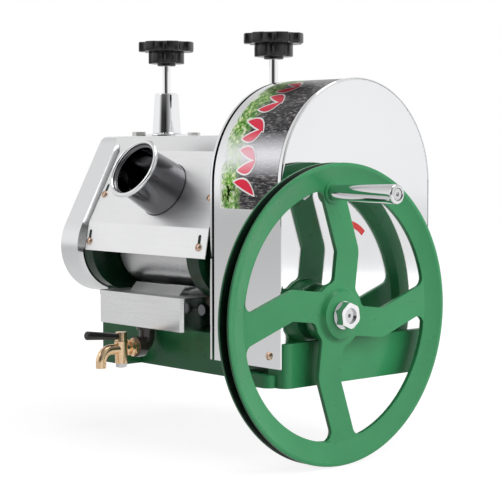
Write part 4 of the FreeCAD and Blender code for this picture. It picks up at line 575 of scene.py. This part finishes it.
# (height above the foot, radius) up the outside and down the bore
TOWER_PROFILE = (
    (-0.0118, 0.0085), (-0.0118, 0.0103), (0.0, 0.0103), (0.0, 0.032), (0.0024, 0.032), (0.0032, 0.0316),
    (0.0035, 0.0308), (0.0035, 0.0232), (0.0040, 0.0222), (0.0054, 0.0210), (0.0608, 0.0176),
    (0.0622, 0.0172), (0.0630, 0.0160), (0.0630, 0.0088), (0.0624, 0.0082), (0.0512, 0.0082),
    (0.0512, 0.0085))
LOBES = 7
# Where points lie along a lobe and round a notch, as parts of its half width and half angle
LOBE_POINTS, NOTCH_POINTS = (-0.62, -0.31, 0.0, 0.31, 0.62), (-0.45, -0.2, 0.0, 0.2, 0.45)
KNOB_HEAD = SimpleNamespace(
    radius=0.041, notch=0.0105, depth=0.0067, corner=0.0030, low=0.4403, high=0.4545, soft=0.0018)
KNOB_COLLAR = SimpleNamespace(
    radius=0.0265, notch=0.0060, depth=0.0030, corner=0.0012, low=0.4229, high=0.4412, soft=0.0010)
# (height, radius) of the cap on the knob's head and of its hub
KNOB_CROWN = ((0.4535, 0.0001), (0.4538, 0.0300), (0.4546, 0.0306), (0.4550, 0.0290), (0.4552, 0.0001))
KNOB_HUB = ((0.4195, 0.0063), (0.4195, 0.0125), (0.4203, 0.0135), (0.4235, 0.0135), (0.4235, 0.0063))
SHANK = SimpleNamespace(low=0.350, high=0.4225, radius=0.0060, bore=0.0052)


def towers():
    """Turned towers that taper upwards, each on a round foot."""
    parts = [revolved(TOWER_PROFILE, (x, 0.0, TOWER_FOOT), "Z") for _, x in SCREWS]
    item = piece("tower_turnings", *joined(*parts), MATERIALS["mirror"], "frame")
    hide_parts("screw_towers")


def star(shape):
    """Plate with a lobed outline: scooped notches and softened corners."""
    radius, notch = shape.radius, shape.notch
    centre = radius + notch - shape.depth
    edge = math.acos((radius * radius + centre * centre - notch * notch) / (2 * radius * centre))
    sweep = math.asin(min(1.0, radius * math.sin(edge) / notch))
    half = math.pi / LOBES
    corners = []
    for k in range(LOBES):
        at = 2 * math.pi * (k + 0.5) / LOBES
        middle = at_angle(centre, at + half)
        corners += [(at_angle(radius, at + t * (half - edge)), 0) for t in LOBE_POINTS]
        corners.append((at_angle(radius, at + half - edge), shape.corner))
        corners += [(at_angle(notch, at + half + math.pi - t * sweep, middle), 0) for t in NOTCH_POINTS]
        corners.append((at_angle(radius, at + half + edge), shape.corner))
    return plate([rounded(corners, 5)], shape.low, shape.high, shape.soft)


def knobs():
    """Moulded star knobs: a lobed head over a fluted collar and a short hub."""
    for name, x in SCREWS:
        parts = [([(x + u, v, w) for u, v, w in points], faces) for points, faces in
                 (star(KNOB_HEAD), star(KNOB_COLLAR))]
        parts += [revolved(KNOB_CROWN, (x, 0.0, 0.0), "Z", 72), revolved(KNOB_HUB, (x, 0.0, 0.0), "Z", 48)]
        item = piece(name + "_star_knob", *joined(*parts), MATERIALS["knob"], name + "_knob")
        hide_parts(name + "_knob")


def screw_shanks():
    """Polished length of each adjusting screw between its tower and its knob."""
    profile = [(SHANK.low, SHANK.bore), (SHANK.low, SHANK.radius), (SHANK.high, SHANK.radius),
               (SHANK.high, SHANK.bore)]
    for name, x in SCREWS:
        item = piece(name + "_screw_shank", *revolved(profile, (x, 0.0, 0.0), "Z", 64), MATERIALS["chrome"],
                     name + "_screw")


# --------------------------------------
# Feed tube
# --------------------------------------
TUBE = SimpleNamespace(
    foot=Vector((-0.072, -0.10943, 0.24230)), normal=Vector((0.0, -0.87622, 0.48192)), base=0.0395,
    neck=0.0365, wall=0.0016, bead=0.0032, flare=0.0042, length=0.0642, flange=0.004, flange_top=-0.0013,
    flange_low=-0.0027, inner_drop=0.0010, inner_flare=0.0038, throat_drop=0.002)
# (from the panel's face, out from the tube's foot) of the dark ring in the corner between them
TUBE_SEAM = ((-0.0006, -0.0002), (-0.0006, 0.0007), (0.0007, 0.0007), (0.0007, -0.0002))


def feed_tube():
    """Tube through the slanted panel, with a rolled bead round its mouth and a flange behind the sheet."""
    base, neck, wall, bead, flare = TUBE.base, TUBE.neck, TUBE.wall, TUBE.bead, TUBE.flare
    lip, bead_z = neck + flare, TUBE.length - bead
    flare_z = bead_z - bead - flare
    tube = [(TUBE.flange_low, base - wall), (TUBE.flange_low, base + TUBE.flange),
            (TUBE.flange_top, base + TUBE.flange), (TUBE.flange_top, base), (0.0, base), (flare_z, neck)]
    tube += [(flare_z + flare * math.sin(a), lip - flare * math.cos(a)) for a in degrees(15, 1, 7)]
    tube += [(bead_z, lip), (bead_z, lip - wall)]
    tube += [(bead_z - flare * math.sin(a) - TUBE.inner_drop,
              lip - wall - TUBE.inner_flare * (1 - math.cos(a))) for a in degrees(15, 0, 7)]
    tube += [(flare_z - TUBE.throat_drop, neck - wall), (0.0, base - wall)]
    rolled = [(bead_z - bead * math.cos(a), lip + bead * math.sin(a)) for a in degrees(15, 0, 24)]
    seam = [(along, base + out) for along, out in TUBE_SEAM]
    turn = TUBE.normal.to_track_quat("Z", "Y").to_matrix()
    # The tube's darkened chrome is painted shade; the bead stays bright.
    for name, profile, material in (("feed_mouth_tube", tube, "chrome_painted_shade"),
                                    ("feed_mouth_bead", rolled, "mirror"), ("feed_mouth_seam", seam, "knob")):
        vertices, faces = revolved(profile, (0, 0, 0), "Z", 120)
        vertices = [tuple(TUBE.foot + turn @ Vector(vertex)) for vertex in vertices]
        item = piece(name, vertices, faces, MATERIALS[material], "frame")
        if name == "feed_mouth_tube":
            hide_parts("feed_tube")


# --------------------------------------
# Tray lid
# --------------------------------------
LID = SimpleNamespace(
    left=-0.1776, right=0.0046, front=-0.1426, back=-0.0800, low=0.0974, high=0.0986, soft=0.0002)
FLAP = SimpleNamespace(left=-0.1510, right=-0.0420, front=-0.1088, back=-0.0860, rise=0.0135, run=0.0115)


def rectangle(shape):
    return [(shape.left, shape.front), (shape.right, shape.front), (shape.right, shape.back),
            (shape.left, shape.back)]


def tray_lid():
    """Sheet lid over the front of the tray, with a flap cut from it and bent up."""
    lid = plate([rectangle(LID), rectangle(FLAP)], LID.low, LID.high, LID.soft)
    thick, front, tip = LID.high - LID.low, FLAP.front, LID.low + FLAP.rise
    section = [(front - LID.soft, LID.low + LID.soft), (front - LID.soft, LID.high), (front + FLAP.run, tip),
               (front + FLAP.run + thick, tip - thick / 2), (front + thick, LID.low + LID.soft)]
    flap = swept([[(x, y, z) for y, z in section] for x in (FLAP.left, FLAP.right)])
    item = piece("tray_lid", *joined(lid, flap), MATERIALS["tin"], "tray")


# --------------------------------------
# Rim of the left end cap
# --------------------------------------
CAP = SimpleNamespace(
    right=-0.218, rim=-0.2110, low_y=0.084, low_z=0.159, low_radius=0.0675, top_y=0.0665, top_z=0.300,
    top_radius=0.016, sheet=0.0012, lip=0.0008, lip_drop=0.0001, fold=0.0002,
    normal=Vector((-0.8802, 0.4746)), last_angle=math.radians(255), steps=40)
# (z, y) of the bends in the front panel's outer face, from the top down
PANEL_BENDS = ((0.3148, -0.0810), (0.2940, -0.0810), (0.1940, -0.1360), (0.1548, -0.1430))
PANEL_GAP = 0.0006
RIM_DEPTH = SimpleNamespace(least=0.0010, step=0.0002, most=0.0140, plain=0.0046)


def panel_face(z):
    """The front panel's y at a height, or 0 below its foot."""
    for (top_z, top_y), (low_z, low_y) in zip(PANEL_BENDS, PANEL_BENDS[1:]):
        if low_z <= z <= top_z:
            return low_y + (top_y - low_y) * (z - low_z) / (top_z - low_z)
    return 0.0


def rim_depth(point, out):
    """How far in from the cap's outline the rim meets the panel."""
    depth = RIM_DEPTH.least
    while depth < RIM_DEPTH.most:
        met = point - out * depth
        if met.x >= panel_face(met.y) - PANEL_GAP:
            return depth
        depth += RIM_DEPTH.step
    return RIM_DEPTH.plain


def cap_outline():
    """(y, z) points down the cap's front and round its foot, each with the way out."""
    low = Vector((-CAP.low_y, CAP.low_z))
    top = Vector((-CAP.top_y, CAP.top_z)) + CAP.normal * CAP.top_radius
    bottom = low + CAP.normal * CAP.low_radius
    path = [(top.lerp(bottom, k / CAP.steps), CAP.normal) for k in range(CAP.steps + 1)]
    start = math.atan2(CAP.normal.y, CAP.normal.x)
    for k in range(1, CAP.steps + 1):
        out = Vector(at_angle(1.0, start + (CAP.last_angle - start) * k / CAP.steps))
        path.append((low + out * CAP.low_radius, out))
    return path


def cap_rim():
    """Sloping rim that closes the end cap against the slanted panel, at the front and the back."""
    parts = []
    for side in (1, -1):
        rings = []
        for point, out in cap_outline():
            depth = rim_depth(point, out)
            section = ((CAP.right, 0.0), (CAP.right + CAP.lip, CAP.lip_drop), (CAP.rim, depth),
                       (CAP.rim - CAP.sheet, depth + CAP.fold), (CAP.right, CAP.sheet))
            rings.append([(x, (point.x - out.x * inset) * side, point.y - out.y * inset)
                          for x, inset in section])
        parts.append(swept(rings))
    piece("cap_rim", *joined(*parts), MATERIALS["cap"], "frame")


flywheel()
grip_sleeve()
grip_bolt()
towers()
knobs()
screw_shanks()
feed_tube()
cap_rim()
tray_lid()


# --------------------------------------
# Gear cover: picture panel without words, edge hem and turning arrow
# --------------------------------------
COVER = SimpleNamespace(radius=0.136, axis_z=0.2523, right=0.190, foot_z=0.0255)
LABEL = SimpleNamespace(left=0.0750, right=0.1828, low=-0.0305, high=0.2075, margin=0.001, steps=60)
# Height of each printed layer above the cover
LAYERS = SimpleNamespace(film_low=0.0001, film_high=0.0003, leaves=0.00042, rims=0.00052, petals=0.00064)
# Painted highlight: a pale band across the film
BAND = SimpleNamespace(z=0.2905, core=0.004, reach=0.030, strength=0.86, color=(0.93, 0.92, 0.97))
LEAVES = SimpleNamespace(
    count=300, spread=0.026, wave=0.009, waves=55.0, crowding=0.8, turn=(0.2, 2.3), length=(0.009, 0.019),
    width=(0.0014, 0.0030), bend=(-0.9, 0.9))
PETALS = SimpleNamespace(
    rows=(0.000, 0.021, 0.042, 0.063, 0.083, 0.109, 0.129, 0.149, 0.169), long_rows=(0, 4), x=0.1225,
    sway=0.0025, phase=1.3, length=0.034, long=0.040, width=0.0125, turn=0.40, bend=0.5, points=12,
    rim=0.0065, rim_width=0.0170)
LEAF_BOW = 0.8
# (in from the cover's side, out from its front) round the folded hem
HEM = ((0.0046, -0.0003), (0.0046, 0.0006), (0.0042, 0.0010), (0.0007, 0.0010), (0.0, 0.0004), (0.0, -0.0003))
HEM_STEPS = SimpleNamespace(leg=4, arch=180)
ARROW = SimpleNamespace(
    middle=(-0.0255, 0.1530), radius=0.0500, width=0.0080, start=math.radians(46), end=math.radians(84),
    tip=math.radians(101), steps=14, low=0.0001, high=0.0004)


def on_arch(x, along, lift):
    """Point on the cover's front: straight below its axis, then round the arch."""
    turn = max(along, 0.0) / COVER.radius
    reach = COVER.radius + lift
    return x, -reach * math.cos(turn), COVER.axis_z + reach * math.sin(turn) + min(along, 0.0)


def label_shader(name, color):
    """Film printed over bright steel, with a painted highlight: a pale band across it."""
    shader = Shader(name, color, metallic=0.92, roughness=0.3)
    axes = shader.node("SeparateXYZ")
    shader.link(shader.coordinates.outputs["Object"], axes.inputs[0])
    shader.x = axes.outputs["X"]
    offset = shader.math("ABSOLUTE", shader.math("SUBTRACT", axes.outputs["Z"], BAND.z))
    # Painted highlight: full over the band's core, fading out at its reach.
    shader.haze = shader.span(offset, BAND.core, BAND.reach, BAND.strength, 0.0)
    return shader


# Mixes the painted highlight band over a print's colour.
def hazed(shader, color, haze_color=BAND.color):
    shader.color_from(shader.mix(shader.haze, color, haze_color))
    return shader.material


def stalk_print():
    """Dark ground with slanting pale strokes, green and white towards the left edge."""
    shader = label_shader("label_ground", (0.03, 0.03, 0.034))
    strokes = shader.noise(140.0, 3.0, (1.0, 1.6, 4.5), (0, 0.30, 0))
    dark = shader.ramp(strokes, (0.42, (0.035, 0.035, 0.040)), (0.52, (0.075, 0.072, 0.076)),
                       (0.60, (0.17, 0.16, 0.16)), (0.68, (0.42, 0.40, 0.38)))
    leaf = shader.ramp(shader.noise(150.0, 4.0), (0.34, (0.05, 0.17, 0.03)), (0.46, (0.15, 0.36, 0.08)),
                       (0.56, (0.42, 0.62, 0.24)), (0.66, (0.88, 0.93, 0.74)))
    edge = shader.math("ADD", shader.x, shader.span(shader.noise(45.0, 4.0), 0.3, 0.7, -0.011, 0.011))
    ground = shader.mix(shader.span(edge, 0.104, 0.116, 1.0, 0.0), dark, leaf)
    rim = shader.math("ADD", shader.x, shader.span(shader.noise(60.0, 3.0), 0.3, 0.7, -0.004, 0.004))
    ground = shader.mix(shader.span(rim, 0.077, 0.085, 0.9, 0.0), ground, (0.90, 0.93, 0.86))
    return hazed(shader, ground)


def leaf_print():
    shader = label_shader("label_leaf", (0.10, 0.33, 0.03))
    tone = shader.ramp(shader.noise(210.0, 1.0), (0.35, (0.06, 0.22, 0.03)), (0.46, (0.18, 0.44, 0.07)),
                       (0.56, (0.44, 0.68, 0.18)), (0.66, (0.86, 0.93, 0.56)))
    # Paler green where the painted highlight band crosses the leaves.
    return hazed(shader, tone, (0.90, 0.96, 0.88))


def flat_print(name, color, haze_color):
    shader = label_shader(name, color)
    tone = shader.ramp(shader.noise(60.0, 2.0), (0.3, [c * 0.92 for c in color]), (0.7, color))
    return hazed(shader, tone, haze_color)


def label_ground():
    """Thin film over the front of the arch, curved with it."""
    section = ((LABEL.left, LAYERS.film_low), (LABEL.left, LAYERS.film_high),
               (LABEL.right, LAYERS.film_high), (LABEL.right, LAYERS.film_low))
    rings = []
    for step in range(LABEL.steps + 1):
        along = LABEL.low + (LABEL.high - LABEL.low) * step / LABEL.steps
        rings.append([on_arch(x, along, lift) for x, lift in section])
    piece("label_ground", *swept(rings), stalk_print(), "frame", smooth=False)


def print_shapes(name, shapes, lift, material):
    """Flat printed shapes, each an outline of (x, along) points with its middle."""
    vertices, faces = [], []
    for middle, outline in shapes:
        start = len(vertices)
        vertices += [on_arch(*middle, lift)] + [on_arch(x, along, lift) for x, along in outline]
        count = len(outline)
        faces += [(start, start + 1 + k, start + 1 + (k + 1) % count) for k in range(count)]
    piece(name, vertices, faces, material, "frame", smooth=False)


def pointed(middle, length, width, turn, bend, points=7):
    """Middle and outline of a leaf: two edges that meet in points, fuller where LEAF_BOW is lower."""
    left, right = [], []
    for k in range(points + 1):
        t = k / points
        reach, side = (t - 0.5) * length, 0.5 * width * math.sin(math.pi * t) ** LEAF_BOW
        sway = bend * length * (t - 0.5) ** 2
        left.append((reach, sway + side))
        if 0 < k < points:
            right.append((reach, sway - side))
    cos, sin = math.cos(turn), math.sin(turn)
    return middle, [(middle[0] + u * cos - v * sin, middle[1] + u * sin + v * cos)
                    for u, v in left + right[::-1]]


def inside(shape):
    """Whether a shape keeps clear of the label's edges."""
    margin = LABEL.margin
    return all(LABEL.left + margin < x < LABEL.right - margin
               and LABEL.low + margin < along < LABEL.high - margin for x, along in shape[1])


def leaf_shapes():
    """Small leaves strewn along the label's left side."""
    leaves = []
    for _ in range(LEAVES.count):
        along = random.uniform(LABEL.low, LABEL.high)
        spread = LEAVES.spread + LEAVES.wave * math.sin(along * LEAVES.waves)
        middle = (LABEL.left + spread * random.random() ** LEAVES.crowding, along)
        turn = random.uniform(*LEAVES.turn)
        shape = pointed(middle, random.uniform(*LEAVES.length), random.uniform(*LEAVES.width), turn,
                        random.uniform(*LEAVES.bend))
        if inside(shape):
            leaves.append(shape)
    return leaves


def petal_shapes():
    """Petals that lean to and fro, and the larger shapes that show as rims round them."""
    petals, rims = [], []
    for number, along in enumerate(PETALS.rows):
        lean = 1 if number % 2 else -1
        length = PETALS.long if number in PETALS.long_rows else PETALS.length
        middle = (PETALS.x + PETALS.sway * math.sin(number * PETALS.phase), along)
        form = (lean * PETALS.turn, lean * PETALS.bend, PETALS.points)
        petals.append(pointed(middle, length, PETALS.width, *form))
        rims.append(pointed(middle, length + PETALS.rim, PETALS.rim_width, *form))
    return petals, rims


def label():
    """Printed film with leaves at its left and a column of petals in its middle."""
    label_ground()
    print_shapes("label_leaves", leaf_shapes(), LAYERS.leaves, leaf_print())
    petals, rims = petal_shapes()
    # The second colour of each print is its tone under the painted highlight band.
    print_shapes("label_rims", rims, LAYERS.rims,
                 flat_print("label_white", (0.96, 0.93, 0.93), (0.95, 0.94, 0.96)))
    print_shapes("label_petals", petals, LAYERS.petals,
                 flat_print("label_red", (0.86, 0.040, 0.085), (0.93, 0.58, 0.66)))


def edge_hem():
    """Folded hem round the outer edge of the cover."""
    leg, arch = HEM_STEPS.leg, HEM_STEPS.arch
    foot = COVER.foot_z - COVER.axis_z

    def ring(along, side=1, drop=0.0):
        points = [on_arch(COVER.right - inset, along, lift) for inset, lift in HEM]
        return [(x, y * side, z + drop) for x, y, z in points]

    rings = [ring(0.0, 1, foot * (1 - k / leg)) for k in range(leg)]
    rings += [ring(math.pi * COVER.radius * k / arch) for k in range(arch + 1)]
    rings += [ring(0.0, -1, foot * k / leg) for k in range(1, leg + 1)]
    piece("cover_edge_hem", *swept(rings), MATERIALS["mirror"], "frame")


def turn_arrow():
    """Curved red arrow on the cover's side that shows which way to turn."""
    radius, width, start, end = ARROW.radius, ARROW.width, ARROW.start, ARROW.end
    inner = [(radius - width / 2, start + (end - start) * k / ARROW.steps) for k in range(ARROW.steps + 1)]
    outer = [(radius + width / 2, angle) for _, angle in reversed(inner)]
    outline = inner + [(radius - width, end), (radius, ARROW.tip), (radius + width, end)] + outer
    points = [at_angle(reach, angle, ARROW.middle) for reach, angle in outline]
    rings = [[(COVER.right + lift, y, z) for y, z in points] for lift in (ARROW.low, ARROW.high)]
    red = Shader("arrow_red", (0.62, 0.02, 0.02), 0.0, 0.3, Coat_Weight=0.2)
    red.color_from(red.ramp(red.noise(80.0, 2.0), (0.3, (0.56, 0.018, 0.018)), (0.7, (0.64, 0.022, 0.022))))
    piece("turn_arrow", *swept(rings), red.material, "frame", smooth=False)


label()
edge_hem()
turn_arrow()


# --------------------------------------
# Stage: floor, studio walls, lamps and camera
# --------------------------------------
# Brightness by distance from the middle, by how far back a reflection falls, and for diffuse rays
FLOOR = SimpleNamespace(
    z=-0.1005, half=8, tone=(0.30, 0.30, 0.30, 1), near=0.4, far=1.6, near_glow=0.86, far_glow=1.0,
    backwards=(0.75, 0.66, 0.0), front=-0.8, back=0.7, front_gloss=0.52, back_gloss=0.86, glow=0.05)
# Brightness of the studio walls by azimuth in degrees, low down and high up
WALL_LOW = ((-180, 0.92), (-135, 1.0), (-108, 0.95), (-84, 0.05), (-46, 0.02), (-16, 0.45), (6, 1.0),
            (60, 1.0), (180, 0.95))
WALL_HIGH = ((-180, 0.66), (-110, 0.80), (-80, 0.45), (-30, 0.35), (10, 0.8), (120, 0.6), (180, 0.60))
# Upward parts of a ray's direction between which the walls fade from low down to high up
WALL_RISE = (0.25, 0.8)
DIFFUSE_WORLD = 0.075
# Name, place, target, side, power and whether it shows in reflections
LAMPS = (("front_light", (-0.9, -2.3, 1.9), (-0.1, 0, 0.15), 0.9, 4, True),
         ("side_light", (2.5, 0.3, 1.2), (0.2, -0.05, 0.10), 3.0, 78, False),
         ("back_light", (2.0, 2.2, 0.45), (0.2, 0.0, 0.05), 1.4, 20, False),
         ("top_light", (0.0, 0.3, 2.8), (0, 0, 0.2), 1.6, 26, True))
CAMERA = SimpleNamespace(
    place=(1.5652, -1.4286, 0.29605), azimuth=47.95, pitch=3.72, focal_length=110.4, sensor=36.0, clip=50.0)


def stage_tree(tree):
    """Empties a node tree and gives a helper that adds a node, links it and sets it."""
    tree.nodes.clear()

    def add(kind, *links, **settings):
        node = tree.nodes.new("ShaderNode" + kind)
        for name, value in settings.items():
            setattr(node, name, value)
        for socket, value in links:
            if isinstance(value, bpy.types.NodeSocket):
                tree.links.new(value, node.inputs[socket])
            else:
                node.inputs[socket].default_value = value
        return node
    return add


def any_of(add, *flags):
    """1 where at least one of the ray flags is set."""
    total = flags[0]
    for flag in flags[1:]:
        total = add("Math", (0, total), (1, flag), operation="MAXIMUM").outputs[0]
    return total


def spread(add, value, low, high, out_low=0.0, out_high=1.0):
    """Value that runs from out_low to out_high while another runs from low to high."""
    return add("MapRange", ("Value", value), ("From Min", low), ("From Max", high),
               ("To Min", out_low), ("To Max", out_high)).outputs["Result"]


def choose(add, factor, low, high):
    """low where the factor is 0, high where it is 1."""
    return spread(add, factor, 0.0, 1.0, low, high)


def choose_color(add, factor, low, high):
    """The same for colours, each a socket or a plain colour."""
    node = add("Mix", ("Factor", factor), data_type="RGBA")
    sockets = {socket.name: socket for socket in node.inputs if socket.type == "RGBA"}
    for name, value in (("A", low), ("B", high)):
        if isinstance(value, bpy.types.NodeSocket):
            node.id_data.links.new(value, sockets[name])
        else:
            sockets[name].default_value = value
    return [socket for socket in node.outputs if socket.type == "RGBA"][0]


def floor_material():
    """Pale floor: white to the camera, softer in reflections, with the object's shadow on it."""
    material = bpy.data.materials.new("stage_floor")
    material.use_nodes = True
    add = stage_tree(material.node_tree)
    path = add("LightPath").outputs
    to_camera = any_of(add, path["Is Camera Ray"], path["Is Transmission Ray"])
    place = add("TexCoord").outputs["Object"]
    reach = add("VectorMath", (0, place), operation="LENGTH").outputs["Value"]
    seen = spread(add, reach, FLOOR.near, FLOOR.far, FLOOR.near_glow, FLOOR.far_glow)
    back = add("VectorMath", (0, place), (1, FLOOR.backwards), operation="DOT_PRODUCT").outputs["Value"]
    shiny = spread(add, back, FLOOR.front, FLOOR.back, FLOOR.front_gloss, FLOOR.back_gloss)
    glow = choose(add, path["Is Glossy Ray"], FLOOR.glow, shiny)
    glow = choose(add, to_camera, glow, seen)
    diffuse = add("BsdfDiffuse", ("Color", FLOOR.tone))
    emission = add("Emission", ("Strength", glow))
    total = add("AddShader", (0, diffuse.outputs[0]), (1, emission.outputs[0]))
    add("OutputMaterial", ("Surface", total.outputs[0]))
    return material


def wall_ramp(add, azimuth, stops):
    ramp = add("ValToRGB", ("Fac", azimuth))
    fill_ramp(ramp, [(angle / 360 + 0.5, (value, value, value)) for angle, value in stops])
    return ramp.outputs["Color"]


def world():
    """White studio to the camera; in reflections its walls have one dark side behind the camera."""
    surroundings = bpy.data.worlds.new("studio")
    bpy.context.scene.world = surroundings
    surroundings.use_nodes = True
    add = stage_tree(surroundings.node_tree)
    path = add("LightPath").outputs
    way = add("SeparateXYZ", ("Vector", add("TexCoord").outputs["Generated"])).outputs
    turn = add("Math", (0, way["Y"]), (1, way["X"]), operation="ARCTAN2").outputs[0]
    azimuth = spread(add, turn, -math.pi, math.pi)
    walls = choose_color(add, spread(add, way["Z"], *WALL_RISE), wall_ramp(add, azimuth, WALL_LOW),
                         wall_ramp(add, azimuth, WALL_HIGH))
    to_camera = any_of(add, path["Is Camera Ray"], path["Is Transmission Ray"])
    color = choose_color(add, to_camera, walls, (1, 1, 1, 1))
    strength = choose(add, any_of(add, to_camera, path["Is Glossy Ray"]), DIFFUSE_WORLD, 1.0)
    background = add("Background", ("Color", color), ("Strength", strength))
    add("OutputWorld", ("Surface", background.outputs[0]))


def softbox(name, place, target, side, power, shows):
    """Square area lamp aimed at a point."""
    data = bpy.data.lights.new(name, "AREA")
    data.shape = "RECTANGLE"
    data.size, data.size_y, data.energy = side, side, power
    lamp = bpy.data.objects.new(name, data)
    bpy.context.scene.collection.objects.link(lamp)
    lamp.location = place
    aim = Vector(target) - Vector(place)
    lamp.rotation_euler = aim.to_track_quat("-Z", "Y").to_euler()
    lamp.visible_glossy = shows


def camera():
    data = bpy.data.cameras.new("camera")
    data.lens, data.sensor_width, data.clip_end = CAMERA.focal_length, CAMERA.sensor, CAMERA.clip
    item = bpy.data.objects.new("camera", data)
    bpy.context.scene.collection.objects.link(item)
    item.location = CAMERA.place
    item.rotation_euler = (math.radians(90 - CAMERA.pitch), 0, math.radians(CAMERA.azimuth))
    bpy.context.scene.camera = item


floor_corners = [(x * FLOOR.half, y * FLOOR.half, FLOOR.z) for x, y in ((-1, -1), (1, -1), (1, 1), (-1, 1))]
floor = new_mesh("floor", floor_corners, [(0, 1, 2, 3)], floor_material())
world()
for lamp_settings in LAMPS:
    softbox(*lamp_settings)
camera()
bpy.context.scene.view_settings.view_transform = "Standard"
